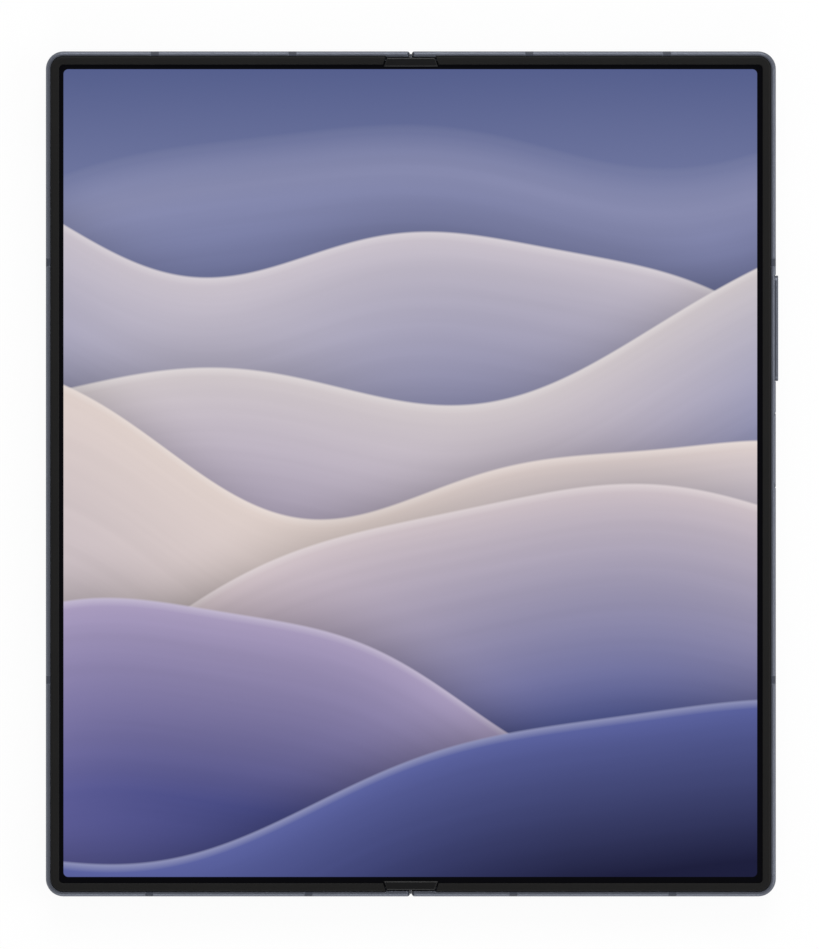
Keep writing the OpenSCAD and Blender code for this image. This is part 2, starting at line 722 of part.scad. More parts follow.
module main_board() {
    board(main_board_box, main_screws);
    // chips between the board and the plate above it: [x, y, width, length, height]
    x0 = main_board_box[0];
    x1 = main_board_box[2];
    y0 = main_board_box[1];
    chips = [
        [x0 + 3.7, y0 + 18, 10, 10, 0.45], [x1 - 13.5, y0 + 16, 9, 12, 0.4],
        [x0 + 5.7, y0 + 32, 7, 6, 0.35], [x1 - 11.5, y0 + 33, 6, 5, 0.35]];
    color(c_black) for (p = chips) translate([p[0], p[1], board_z - 0.05]) cube([p[2], p[3], p[4] + 0.05]);
}

module board_shield() color(c_steel) {
    b = main_board_box;
    box([b[0] + 5, b[1] + 6, board_z - board_t - shield_t], [b[2] - 1, b[3] - 6, board_z - board_t]);
}

module left_board() {
    board(left_board_box, left_screws_at);
    b = left_board_box;
    low = board_z - board_t;
    color(c_steel) box([b[0] + 6, b[1] + 6, low - 1], [b[2] - 6, b[3] - 4, low + 0.05]);
}

module sub_board() {
    b = sub_board_box;
    socket_out = socket_w / 2 + socket_wall + seat_gap;
    color(c_board) translate([0, 0, sub_board_z]) linear_extrude(sub_board_t) difference() {
        round_rect(b[0], b[1], b[2], b[3], 1);
        for (p = sub_screws) translate(p) circle(screw_r + 0.1);
        // notch for the socket
        translate([socket_x - socket_out, -half_l])
            square([2 * socket_out, socket_in + socket_l + seat_gap]);
    }
    // microphone behind its two holes
    mic_x = (mic_at[0] + mic_at[1]) / 2;
    top = sub_board_z + sub_board_t;
    color(c_brass) box([mic_x - 2.2, b[1] + 0.2, top - 0.05], [mic_x + 2.2, b[1] + 3.2, port_z + 0.6]);
}

// Flat-sided bar with round ends, along Y, larger than the socket's opening by grow
module socket_shape(grow, y0, y1) {
    w = socket_w / 2 + grow;
    h = socket_h / 2 + grow;
    for (s = [-1, 1]) translate([socket_x + s * (w - h), 0, port_z]) rod(h, y0, y1);
    box([socket_x - w + h, y0, port_z - h], [socket_x + w - h, y1, port_z + h]);
}

module usb_port() color(c_steel) {
    y0 = socket_in - half_l;
    y1 = y0 + socket_l;
    difference() {
        socket_shape(socket_wall, y0, y1);
        socket_shape(0, y0 - 1, y1 - 0.6);
    }
    // tongue
    box([socket_x - 3.35, y0 + 1, port_z - 0.35], [socket_x + 3.35, y1 - 0.3, port_z + 0.35]);
}

module speaker(left, bottom) color(c_black) on_side(left) mirror([0, bottom ? 1 : 0, 0])
    box([speaker_x - speaker_reach[0], wall_in_y - speaker_d, port_z - 1.4],
        [speaker_x + speaker_reach[1], wall_in_y, mid_z]);

// Coin-shaped motor between the cell and the speaker
module vibration_motor() color(c_steel) {
    motor_r = 4;
    motor_z = 1.2;
    translate([half_w - 13.8, (cell_y + speaker_d - wall_in_y) / 2, motor_z])
        cylinder(r = motor_r, h = mid_z - motor_z);
}

// Flat coil under the middle of the cell
module charging_coil() color(c_brass) {
    middle = (battery_right_box[0] + battery_right_box[1]) / 2;
    translate([middle[0], middle[1], glass_t]) difference() {
        cylinder(r = coil_r, h = coil_t);
        translate([0, 0, -1]) cylinder(r = coil_bore_r, h = coil_t + 2);
    }
}

module closing_magnets() color(c_steel) for (y = magnets_y)
    box([wall_in_x - magnet_w, y, mid_z - magnet_w], [wall_in_x, y + magnet_l, mid_z]);

// ---------------------------------------------------------------- screws

// Screw from below: its head at height z, its shank up to the top
module screw(at, z, top) translate([at[0], at[1], z - screw_head_h]) {
    cylinder(r = screw_head_r, h = screw_head_h);
    cylinder(r = screw_r, h = top - z + screw_head_h);
}

module foot_screw_set(left) for (s = [-1, 1], x = foot_screws)
    screw([x, rail_middle(s, left)], foot_z, mid_z + mid_t - 0.15);

module right_screws() color(c_steel) {
    foot_screw_set(false);
    for (p = main_screws) screw(p, board_z - board_t, mid_z - 0.3);
    for (p = sub_screws) screw(p, sub_board_z, mid_z - 0.3);
}

module left_screws() color(c_steel) {
    on_side(true) foot_screw_set(true);
    for (p = left_screws_at) screw(p, board_z - board_t, mid_z - 0.3);
}

// ---------------------------------------------------------------- spine and rails

// Middle of a rail along the fold: the right and left rails of a block lie side by side
function rail_middle(end, left) = end * rail_y + (left ? rail_step : -rail_step);

module spine_shell() color(c_frame) {
    slab(-spine_y, spine_y) difference() {
        spine_outline(spine_r, shell_top);
        spine_outline(bore_r, shell_top + 1);
    }
    for (m = [0, 1]) mirror([0, m, 0]) slab(spine_y - 1, spine_y) {
        spine_outline(bore_r + 0.1, shell_top);
        translate([-pivot_x - 1, shell_top - 0.1]) square([2 * pivot_x + 2, block_top - shell_top + 0.1]);
    }
}

module block_outline() difference() {
    spine_outline(block_r, block_top);
    for (s = [0, 1]) mirror([s, 0]) translate([pivot_x + rail_r + 0.35, shell_top]) square([half_w, body_t]);
}

// Block with two curved grooves, one for each half's rail
module rail_block(end) color(c_steel) difference() {
    y_mid = end * rail_y;
    half = rail_step + rail_w / 2 + 2;
    groove_w = rail_w / 2 + 0.1;
    slab(y_mid - half, y_mid + half) block_outline();
    inner = rail_r - rail_gap;
    for (left = [false, true]) on_side(left) translate([0, rail_middle(end, left), 0])
        slab(-groove_w, groove_w) {
            translate([pivot_x, pivot_z]) arc_band(inner, inner + rail_t + 2 * rail_gap, rail_tail - 3, 12);
            translate([pivot_x + inner, foot_z - 0.1]) square([half_w, body_t]);
        }
}

// Curved rail and the foot that is screwed under the frame's plate, drawn for the right
module rotator(end, left) color(c_steel) on_side(left) translate([0, rail_middle(end, left), 0]) {
    foot_x = pivot_x + rail_r + 0.15;
    difference() {
        slab(-rail_w / 2, rail_w / 2) {
            translate([pivot_x, pivot_z]) arc_band(rail_r, rail_r + rail_t, rail_tail, 3);
            translate([foot_x, foot_z]) square([wall_x + foot_l - 2.5 - foot_x, foot_t]);
        }
        for (x = foot_screws) translate([x, 0, foot_z - 1]) cylinder(r = screw_r + 0.1, h = foot_t + 2);
    }
}

// ---------------------------------------------------------------- gear train

// Involute gear outline: n teeth, pitch radius r, teeth thinned by the backlash
module gear_outline(n, r, backlash) {
    m = 2 * r / n;
    base = r * cos(20);
    tip = r + 0.8 * m;
    root = r - 1.15 * m;
    function roll(q) = sqrt(max(0, q * q / (base * base) - 1)) * 180 / PI - acos(min(1, base / q));
    half = 90 / n - backlash / (2 * r) * 180 / PI + roll(r);
    radii = [base, (base * 2 + tip) / 3, (base + 2 * tip) / 3, tip];
    polygon([for (i = [0:n - 1]) let (a = i * 360 / n) each concat(
        [[root * cos(a - half), root * sin(a - half)]],
        [for (q = radii) [q * cos(a - half + roll(q)), q * sin(a - half + roll(q))]],
        [for (k = [3:-1:0]) let (q = radii[k]) [q * cos(a + half - roll(q)), q * sin(a + half - roll(q))]],
        [[root * cos(a + half), root * sin(a + half)]])]);
}

module gear(turned) slab(gear_y[0], gear_y[1]) rotate(turned) gear_outline(gear_teeth, gear_r, 0.03);

module idler_gear(side) color(c_brass) translate([side * idler_x, 0, gear_z]) {
    gear(side > 0 ? 0 : 180 / gear_teeth);
    rod(shaft_r, -house_y, house_y);
}

// Shaft with its gear, its arm and the pin that drives or follows the frame, drawn for the right
module sync_gear(left) color(c_brass) on_side(left) {
    translate([sync_x, 0, gear_z]) {
        gear(left ? 0 : 180 / gear_teeth);
        rod(shaft_r, -house_y, house_y);
        rod(0.75, arm_y[0], arm_y[1]);
    }
    slab(arm_y[0], arm_y[1]) {
        translate([sync_x - 0.1, arm_bottom]) square([pin_x + 0.45 - sync_x, arm_top - arm_bottom]);
        translate([sync_x - 0.1, gear_z]) square([0.75, arm_bottom - gear_z + 0.1]);
    }
    translate([pin_x, 0, pin_z]) rod(pin_r, arm_y[0], rib_y[1] + 0.2);
}

module gear_housing() color(c_steel) difference() {
    union() {
        for (y = [-house_y, -plate_w / 2, house_y - plate_w]) slab(y, y + plate_w) block_outline();
        slab(-house_y, house_y) intersection() {
            block_outline();
            translate([-half_w, 0]) square([body_w, spine_z + shell_t + 0.5]);
        }
    }
    for (x = [-sync_x, -idler_x, idler_x, sync_x]) translate([x, 0, gear_z])
        rod(shaft_r + shaft_gap, -house_y - 1, house_y + 1);
}

module hinge_flex_cable() color(c_brass) for (y = cable_y) {
    z = shell_top + 0.3;
    box([-wall_x - 3, y - cable_w / 2, z], [wall_x + 3, y + cable_w / 2, z + cable_t]);
}

// ---------------------------------------------------------------- keys

// Bar with round ends in its slot, and a flange behind the wall
module key(y, l, proud) color(c_frame) {
    difference() {
        key_hole(y, l, 0, flange_x - key_flange_t, half_w + proud);
        // the outer edge is eased
        ease = sqrt(2) * max(0.2, proud - 0.2);
        for (s = [-1, 1]) translate([half_w + proud, 0, key_z + s * key_h / 2])
            rotate([0, 45, 0]) cube([ease, body_l, ease], center = true);
    }
    box([flange_x - key_flange_t, y - l / 2 - key_flange_reach, key_z - key_h / 2],
        [flange_x, y + l / 2 + key_flange_reach, key_z + key_h / 2]);
}

module volume_key() key(volume_y, volume_l, volume_proud);
module side_key() key(side_y, side_l, side_proud);

// Bracket behind the keys with a click dome under each end of the long key and one under the short key
module key_bracket() color(c_steel) {
    box([bracket_x - bracket_t, side_y - side_l / 2, key_z - 1.1],
        [bracket_x, volume_y + volume_l / 2, mid_z]);
    for (y = [volume_y - dome_reach, volume_y + dome_reach, side_y])
        translate([bracket_x - 0.1, y, key_z]) rotate([0, 90, 0]) cylinder(r = 1.0, h = dome_h + 0.1);
}

// ---------------------------------------------------------------- card tray

// Bar with round ends along Y, through the left wall
module tray_shape(l, r, grow, x0, x1) {
    for (s = [-1, 1]) translate([x0, tray_y + s * (l / 2 - r), tray_z])
        rotate([0, 90, 0]) cylinder(r = r + grow, h = x1 - x0);
    box([x0, tray_y - l / 2 + r, tray_z - r - grow], [x1, tray_y + l / 2 - r, tray_z + r + grow]);
}

module sim_tray() color(c_frame) {
    x0 = -half_w;
    plate = tray_plate_t / 2;
    w = tray_plate_w / 2;
    // size of the card: 12.3 by 8.8 mm, with some play
    card = [8.9, 12.4];
    card_x = x0 + tray_d - 1.5 - card[0];
    difference() {
        union() {
            tray_shape(tray_l, tray_h / 2, 0, x0, x0 + tray_face_t);
            box([x0 + 0.5, tray_y - w, tray_z - plate], [x0 + tray_d, tray_y + w, tray_z + plate]);
        }
        // pocket for one card, with a small ledge under its edge
        translate([card_x, tray_y - card[1] / 2, tray_z - plate + 0.15]) cube([card[0], card[1], 2]);
        translate([card_x + 0.8, tray_y - card[1] / 2 + 0.8, tray_z - 1])
            cube([card[0] - 1.6, card[1] - 1.6, 2]);
        // pin hole of the ejector
        translate([x0 - 1, tray_y + tray_l / 2 - 1.5, tray_z]) rotate([0, 90, 0]) cylinder(r = 0.35, h = 3);
    }
}

// Cage that guides the tray: two rails and a lid, fixed under the plate
module sim_reader() color(c_steel) {
    x0 = -wall_in_x + 0.1;
    x1 = -half_w + tray_d + 1;
    w = tray_plate_w / 2 + 0.1;
    h = tray_plate_t / 2 + 0.1;
    difference() {
        box([x0, tray_y - w - 0.8, tray_z - h - cage_wall], [x1, tray_y + w + 0.8, mid_z]);
        box([x0 - 1, tray_y - w, tray_z - h], [x1 - cage_wall, tray_y + w, tray_z + h]);
        // contacts' window below
        box([x0 + 2.5, tray_y - 5, 0], [x1 - 2, tray_y + 5, tray_z]);
    }
}

// ---------------------------------------------------------------- the nodes

stand() right_frame();
stand() color(c_cell) antenna_bands();  // right_antenna_bands
stand() soft_rim();  // right_bezel
stand() screen_half();  // display_right
stand() rear_glass();
stand() camera_island();
stand() camera_ring(1);  // camera_ring_top
stand() camera_ring(0);  // camera_ring_middle
stand() camera_ring(-1);  // camera_ring_bottom
stand() camera_glass(1);  // camera_glass_top
stand() camera_glass(0);  // camera_glass_middle
stand() camera_glass(-1);  // camera_glass_bottom
stand() camera_module(1);  // camera_module_top
stand() camera_module(0);  // camera_module_middle
stand() camera_module(-1);  // camera_module_bottom
stand() flash_module();
stand() under_display_camera();
stand() cell(battery_right_box);  // battery_right
stand() main_board();
stand() board_shield();
stand() sub_board();
stand() usb_port();
stand() speaker(false, true);  // speaker_bottom
stand() vibration_motor();
stand() charging_coil();
stand() key_bracket();
stand() closing_magnets();  // closing_magnets_right
stand() right_screws();
stand() rotator(1, false);  // rotator_right_top
stand() rotator(-1, false);  // rotator_right_bottom
stand() volume_key();
stand() side_key();
stand() spine_shell();
stand() rail_block(1);  // rail_block_top
stand() rail_block(-1);  // rail_block_bottom
stand() gear_housing();
stand() idler_gear(1);  // idler_gear_right
stand() idler_gear(-1);  // idler_gear_left
stand() sync_gear(false);  // sync_gear_right
stand() sync_gear(true);  // sync_gear_left
stand() display_fold();
stand() bezel_cap(false);  // bezel_cap_top
stand() bezel_cap(true);  // bezel_cap_bottom
stand() hinge_flex_cable();
stand() left_frame();
stand() color(c_cell) on_side(true) antenna_bands();  // left_antenna_bands
stand() on_side(true) soft_rim();  // left_bezel
stand() on_side(true) screen_half();  // display_left
stand() cover_glass();
stand() cover_display();
stand() cover_camera();
stand() cell(battery_left_box);  // battery_left
stand() left_board();
stand() speaker(true, false);  // speaker_top
stand() sim_reader();
stand() on_side(true) closing_magnets();  // closing_magnets_left
stand() left_screws();
stand() rotator(1, true);  // rotator_left_top
stand() rotator(-1, true);  // rotator_left_bottom
stand() sim_tray();
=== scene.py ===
# %% [markdown]
# # A folding phone, lying open on its back
# The phone is a thin metal tray in two halves, with one flexible screen across both and a geared spine
# under the fold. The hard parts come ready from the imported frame. This lesson gives each its finish,
# and builds anew what needs finer surfaces: the screen, the soft rim round it, the caps and ribbons at
# the fold, and the camera parts on the back. Blender counts in metres, so values in millimetres are
# multiplied by mm.

# %% Load the frame
import math
from collections import namedtuple
import bmesh
import bpy
import numpy as np
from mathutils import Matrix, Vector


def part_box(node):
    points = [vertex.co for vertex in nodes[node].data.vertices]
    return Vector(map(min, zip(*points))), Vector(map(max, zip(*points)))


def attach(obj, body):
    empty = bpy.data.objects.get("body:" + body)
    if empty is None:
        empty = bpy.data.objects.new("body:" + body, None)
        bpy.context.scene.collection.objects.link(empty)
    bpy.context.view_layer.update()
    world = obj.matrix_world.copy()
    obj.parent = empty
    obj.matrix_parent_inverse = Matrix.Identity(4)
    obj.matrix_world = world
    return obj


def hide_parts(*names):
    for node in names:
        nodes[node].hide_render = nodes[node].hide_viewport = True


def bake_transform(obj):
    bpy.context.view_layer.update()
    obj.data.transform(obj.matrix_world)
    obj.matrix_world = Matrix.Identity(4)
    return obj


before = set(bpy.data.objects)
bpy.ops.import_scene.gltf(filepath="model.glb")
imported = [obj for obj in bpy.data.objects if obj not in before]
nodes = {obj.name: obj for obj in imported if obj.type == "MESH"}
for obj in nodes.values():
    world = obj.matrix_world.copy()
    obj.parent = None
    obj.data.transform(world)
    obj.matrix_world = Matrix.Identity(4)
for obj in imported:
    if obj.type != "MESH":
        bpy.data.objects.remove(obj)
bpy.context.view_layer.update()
mm = 0.001

# %% [markdown]
# ## Camera
# The photograph looks straight down on the open screen with almost no perspective. A very long lens
# from far away gives the same view. The pixels that one millimetre covers give the picture's height in
# millimetres, and so the camera's distance. The phone's middle lies a little off the picture's middle.


# %% Camera
def in_scene(name, data):
    """A new object that is part of the scene."""
    made = bpy.data.objects.new(name, data)
    bpy.context.scene.collection.objects.link(made)
    return made


photo_width, photo_height = 819, 949
pixels_per_mm = 5.508
phone_middle = (410.87, 473.9)  # in pixels, from the photograph's top left corner
lens_mm = 250
sensor_mm = 36
front_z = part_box("right_frame")[1].z
view_height = photo_height / pixels_per_mm * mm
camera_up = view_height / 2 * lens_mm / (sensor_mm / 2)
aim_x = (photo_width / 2 - phone_middle[0]) / pixels_per_mm * mm
aim_y = (phone_middle[1] - photo_height / 2) / pixels_per_mm * mm
camera = in_scene("camera", bpy.data.cameras.new("camera"))
camera.data.lens = lens_mm
camera.data.sensor_width = sensor_mm
camera.data.clip_end = 20
camera.location = (aim_x, aim_y, front_z + camera_up)
bpy.context.scene.camera = camera
print("camera:", round(camera_up, 3), "m above the phone")

# %% [markdown]
# ## Sizes taken from the frame
# The new pieces lie exactly where the hard parts leave room for them, so most sizes come from the
# boxes of those parts. Only what a box can't say, such as how far the soft rim reaches over the screen,
# is given. Offsets are measured inwards from the outer edge of the metal.

# %% Sizes
back_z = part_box("rear_glass")[0].z  # the back glass' outer face
edge_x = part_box("right_frame")[1].x  # free edge of the right half
edge_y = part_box("right_frame")[1].y  # top edge
corner_r = 3.2 * mm
screen_x, screen_y, screen_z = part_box("display_right")[1]
screen_t = screen_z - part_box("display_right")[0].z
rim_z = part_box("right_bezel")[1].z  # top of the soft rim
rim_foot_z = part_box("right_bezel")[0].z
rim_out = edge_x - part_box("right_bezel")[1].x  # offset of the rim's outer side
rim_leg = 1.6 * mm  # offset of the inside of the rim's leg
rim_in = 2.45 * mm  # offset of the rim's inner edge
cap_low, cap_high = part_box("bezel_cap_top")
cap_out = edge_y - cap_high.y
cap_in = edge_y - cap_low.y
cap_half_in = cap_high.x  # a cap is widest on its inner side
cap_half_out = cap_half_in - 0.55 * mm
cap_gap = 0.25 * mm  # between a cap and the rim
print("screen:", round(2 * screen_x / mm, 2), "by", round(2 * screen_y / mm, 2), "mm")

# %% [markdown]
# ## Grids of points
# Every new piece is a grid of points worked out by a formula. A grid needs faces between its lines,
# and a closed piece needs its border walled or its ends capped. These helpers do that for whole arrays.


# %% Grids
def grid_faces(rows, columns, loop_rows=False, loop_columns=False):
    """Four-cornered faces between the lines of a grid of points that is counted row by row.
    A looped direction joins its last line to its first. Faces look along columns x rows."""
    r = np.arange(rows if loop_rows else rows - 1)[:, None]
    c = np.arange(columns if loop_columns else columns - 1)[None, :]
    next_r, next_c = (r + 1) % rows, (c + 1) % columns
    corners = [r * columns + c, r * columns + next_c, next_r * columns + next_c, next_r * columns + c]
    return np.stack(corners, axis=-1).reshape(-1, 4).tolist()


def over(x, y, z):
    """Grid of points from arrays that spread over each other, such as a row x, a column y, and one z."""
    return np.stack(np.broadcast_arrays(x, y, z), axis=-1)


def plate(top, bottom):
    """Closed plate between two grids of points of one shape: the upper faces, the lower faces turned
    over, and a wall round the four borders."""
    rows, columns, _ = top.shape
    count = rows * columns
    faces = grid_faces(rows, columns)
    faces += [[count + i for i in reversed(f)] for f in faces]
    index = np.arange(count).reshape(rows, columns)
    border = np.concatenate([index[0, :-1], index[:-1, -1], index[-1, :0:-1], index[:0:-1, 0]])
    after = np.roll(border, -1)
    faces += np.stack([border, border + count, after + count, after], axis=1).tolist()
    return np.concatenate([top.reshape(-1, 3), bottom.reshape(-1, 3)]), faces


def bar(sections):
    """Closed bar through a row of cross-sections, each a loop of points, with its two ends capped."""
    rows, columns, _ = sections.shape
    faces = grid_faces(rows, columns, loop_columns=True)
    loop = list(range(columns))
    faces += [loop[::-1], [(rows - 1) * columns + i for i in loop]]
    return sections.reshape(-1, 3), faces


print("3 by 4 points:", len(grid_faces(3, 4)), "faces")

# %% [markdown]
# ## Turned and mirrored shapes
# The camera parts are round, so a profile turned about an axis makes them. The phone is nearly the same
# on both sides of the fold and at both ends, so half of the pieces are mirror images. A mirror turns a
# shape inside out, so its faces are turned round as well.


# %% Turned and mirrored shapes
def lathe(profile, centre, around=96, ring=False):
    """Surface of revolution: each profile point (radius, height) runs round a circle about the centre.
    The profile goes outwards below and inwards above; a ring's profile is a closed loop."""
    profile = np.asarray(profile, float)
    angle = 2 * math.pi * np.arange(around) / around
    radius, height = profile[:, :1], profile[:, 1:]
    points = over(centre[0] + radius * np.cos(angle), centre[1] + radius * np.sin(angle), height)
    return points.reshape(-1, 3), grid_faces(len(profile), around, loop_rows=ring, loop_columns=True)


def arc(centre, radii, start, end, steps):
    """Points (a, b) of an elliptic arc: centre + (ra cos t, rb sin t), t from start to end in degrees."""
    t = np.radians(np.linspace(start, end, steps))
    return np.stack([centre[0] + radii[0] * np.cos(t), centre[1] + radii[1] * np.sin(t)], axis=1)


def joined(*parts):
    """Several (points, faces) as one, each a closed shell of its own."""
    points, faces, start = [], [], 0
    for p, f in parts:
        points.append(p)
        faces += [[i + start for i in face] for face in f]
        start += len(p)
    return np.concatenate(points), faces


def on_left(part):
    """The mirror image in the fold, with its faces turned round so that they still look outwards."""
    points, faces = part
    return points * (-1, 1, 1), [f[::-1] for f in faces]


def at_bottom(part):
    """The mirror image at the other end of the fold."""
    points, faces = part
    return points * (1, -1, 1), [f[::-1] for f in faces]


print("a quarter circle:", len(arc((0, 0), (1, 1), 0, 90, 8)), "points")

# %% [markdown]
# ## From arrays to Blender objects
# Each piece becomes a mesh object that rides on one body of the frame, if one is given. It also
# remembers where its points lie at rest, so that a pattern stays on it when it bends.


# %% Blender objects
def piece(name, part, finished, body=None, sharp=32):
    """Makes points and faces a mesh object: doubles merged, smooth but for sharp edges."""
    points, faces = part
    mesh = bpy.data.meshes.new(name)
    mesh.from_pydata(points.tolist(), [], faces)
    tidy = bmesh.new()
    tidy.from_mesh(mesh)
    bmesh.ops.remove_doubles(tidy, verts=tidy.verts, dist=1e-7)
    tidy.to_mesh(mesh)
    tidy.free()
    place = np.zeros(len(mesh.vertices) * 3, np.float32)
    mesh.vertices.foreach_get("co", place)
    mesh.attributes.new("rest_place", "FLOAT_VECTOR", "POINT").data.foreach_set("vector", place)
    mesh.shade_smooth()
    mesh.set_sharp_from_angle(angle=math.radians(sharp))
    mesh.materials.append(finished.material)
    made = in_scene(name, mesh)
    if body:
        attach(made, body)
    print(name, len(mesh.vertices), "points")
    return made


def across_fold(made):
    """Writes a piece's placement into its points."""
    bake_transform(made)
    return made


# %% [markdown]
# ## Building materials in code
# A material is a small network: nodes that make colours and values, and one shader at the end. Each
# input of a node holds a value of its own or a link to another node's output. These helpers start a
# material, add a node and fill its inputs.


# %% Node helpers
def fill(tree, node, inputs):
    """Fills inputs of a node: an output of another node is linked, any other value is written down."""
    for key, value in inputs.items():
        if isinstance(value, bpy.types.NodeSocket):
            tree.links.new(value, node.inputs[key])
        else:
            node.inputs[key].default_value = value


def add(tree, kind, inputs=None, **settings):
    """Adds one node, sets its options and fills its inputs."""
    made = tree.nodes.new(kind)
    for key, value in settings.items():
        setattr(made, key, value)
    fill(tree, made, inputs or {})
    return made


def new_material(name):
    """A new material with its tree and its shader."""
    material = bpy.data.materials.new(name)
    material.use_nodes = True
    return material, material.node_tree, material.node_tree.nodes["Principled BSDF"]


print("materials:", len(bpy.data.materials))

# %% [markdown]
# ## Arithmetic with nodes
# Most patterns here are plain arithmetic on the distance from a line or a point. Each of these helpers
# adds one node of arithmetic and gives back its output.


# %% Arithmetic
def calc(tree, operation, *values, clamp=False):
    """One Math node on up to three numbers or sockets."""
    made = add(tree, "ShaderNodeMath", dict(enumerate(values)), operation=operation, use_clamp=clamp)
    return made.outputs[0]


def vector(tree, operation, *values):
    """One Vector Math node. A distance, a length or a dot product comes back as a number."""
    made = add(tree, "ShaderNodeVectorMath", dict(enumerate(values)), operation=operation)
    gives_number = operation in ("DISTANCE", "LENGTH", "DOT_PRODUCT")
    return made.outputs["Value" if gives_number else "Vector"]


def scaled(tree, colour, factor):
    """A colour or vector times a number."""
    return add(tree, "ShaderNodeVectorMath", {0: colour, "Scale": factor}, operation="SCALE").outputs[0]


def ramp(tree, value, start, end):
    """Rises evenly from 0 where the value is start to 1 where it is end, and is flat beyond them."""
    return add(tree, "ShaderNodeMapRange", {"Value": value, "From Min": start, "From Max": end}).outputs[0]


def mix(tree, factor, a, b):
    """Mixes two colours; factor 0 gives a and 1 gives b."""
    return add(tree, "ShaderNodeMix", {0: factor, 6: a, 7: b}, data_type="RGBA").outputs[2]


def noise(tree, place, scale, detail):
    """Noise between 0 and 1, about 0.5 on average."""
    return add(tree, "ShaderNodeTexNoise", {"Vector": place, "Scale": scale, "Detail": detail}).outputs[0]


def axes_of(tree, place):
    """The X, Y and Z of a place, as three numbers."""
    return add(tree, "ShaderNodeSeparateXYZ", {0: place}).outputs


print("arithmetic ready")

# %% [markdown]
# ## Node groups and places
# What several materials share is a node group: built once, and placed in each material with values of
# its own. Patterns are laid out by Object coordinates, which on these pieces are the frame's metres. A
# piece that bends uses its place at rest instead.


# %% Groups and places
def new_group(name, inputs, outputs):
    """An empty node group with named sockets, with its tree, input node and output node."""
    kinds = {float: "NodeSocketFloat", tuple: "NodeSocketColor", list: "NodeSocketVector"}
    tree = bpy.data.node_groups.new(name, "ShaderNodeTree")
    for label, value in inputs.items():
        socket = tree.interface.new_socket(label, in_out="INPUT", socket_type=kinds[type(value)])
        socket.default_value = value
    for label, kind in outputs.items():
        tree.interface.new_socket(label, in_out="OUTPUT", socket_type=kinds[kind])
    return tree, add(tree, "NodeGroupInput").outputs, add(tree, "NodeGroupOutput")


def use(tree, group, **inputs):
    """Places a node group in a material, fills its inputs and gives back its outputs."""
    made = add(tree, "ShaderNodeGroup", node_tree=group)
    fill(tree, made, {key.replace("_", " "): value for key, value in inputs.items()})
    return made.outputs


def rest_place(tree):
    """Where a point lay at rest, on a piece that bends."""
    return add(tree, "ShaderNodeAttribute", attribute_name="rest_place").outputs["Vector"]


def place_of(tree, stretch=(1, 1, 1), follows=False):
    """Where a point lies on its piece, in metres: Object coordinates, or the place at rest on a piece
    that bends. The stretch turns an even pattern into lines."""
    source = rest_place(tree) if follows else add(tree, "ShaderNodeTexCoord").outputs["Object"]
    return add(tree, "ShaderNodeMapping", {"Vector": source, "Scale": stretch}).outputs[0]


def middle_of(name):
    """The middle of a hard part's box."""
    low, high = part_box(name)
    return (low + high) / 2


print("groups:", len(bpy.data.node_groups))

# %% [markdown]
# ## Grain, shared by nearly every finish
# No real surface is one flat colour. Blasted metal, moulded plastic and etched glass have a fine grain
# that varies the colour, the gloss, and the height by a few micrometres. The group reads a place, so
# that a material can stretch the grain into brushing marks.

# %% Grain group
grain, g, out = new_group(
    "surface_grain",
    {"Place": [0.0, 0.0, 0.0], "Colour": (0.5, 0.5, 0.5, 1.0), "Spread": 0.1, "Gloss": 0.4,
     "Gloss spread": 0.1, "Scale": 4000.0},
    {"Colour": tuple, "Roughness": float, "Height": float})
broad_share = 0.02  # scale of the cloudy variation, as a share of the grain's
fine = noise(grain, g["Place"], g["Scale"], 3.0)
broad = noise(grain, g["Place"], calc(grain, "MULTIPLY", g["Scale"], broad_share), 2.0)
both = calc(grain, "SUBTRACT", calc(grain, "ADD", fine, broad), 1.0)
light = calc(grain, "MULTIPLY_ADD", both, g["Spread"], 1.0)
uneven = calc(grain, "SUBTRACT", broad, 0.5)
rough = calc(grain, "MULTIPLY_ADD", uneven, g["Gloss spread"], g["Gloss"], clamp=True)
fill(grain, out, {"Colour": scaled(grain, g["Colour"], light), "Roughness": rough, "Height": fine})
print("grain group:", len(grain.nodes), "nodes")

# %% [markdown]
# ## Painted edge highlights, shared by the metals
# The metal's edges are rounded by about a tenth of a millimetre, so they catch the light as thin bright
# lines. The Bevel node looks for nearby faces and gives the normal that a rounded edge would have.
# Where it leaves the true normal, there is an edge, and the finishes paint that mask a brighter colour:
# a painted highlight beside the real one that the rounded normal gives.

# %% Edge group
edges, g, out = new_group(
    "painted_edge_highlights", {"Width": 0.0001, "Strength": 1.0}, {"Mask": float, "Normal": list})
rounded = add(edges, "ShaderNodeBevel", {"Radius": g["Width"]}, samples=4).outputs[0]
true_normal = add(edges, "ShaderNodeNewGeometry").outputs["True Normal"]
likeness = vector(edges, "DOT_PRODUCT", rounded, true_normal)
turned = calc(edges, "MULTIPLY", calc(edges, "SUBTRACT", 1.0, likeness), g["Strength"], clamp=True)
fill(edges, out, {"Mask": turned, "Normal": rounded})
print("edge group:", len(edges.nodes), "nodes")

# %% [markdown]
# ## One recipe for a finish
# Each finish starts from the same recipe: grain for colour and gloss, a bump from the grain's height,
# and rounded edges with a painted highlight where they are wanted. Finishes differ in their values, and
# in what is added later.

# %% The recipe
Finish = namedtuple("Finish", "material tree shader grain")
grain_height = 0.02 * mm
edge_width = 0.12 * mm
highlight_gain, highlight_lift = 2.2, 0.08  # an edge's colour is gain times the metal's plus lift


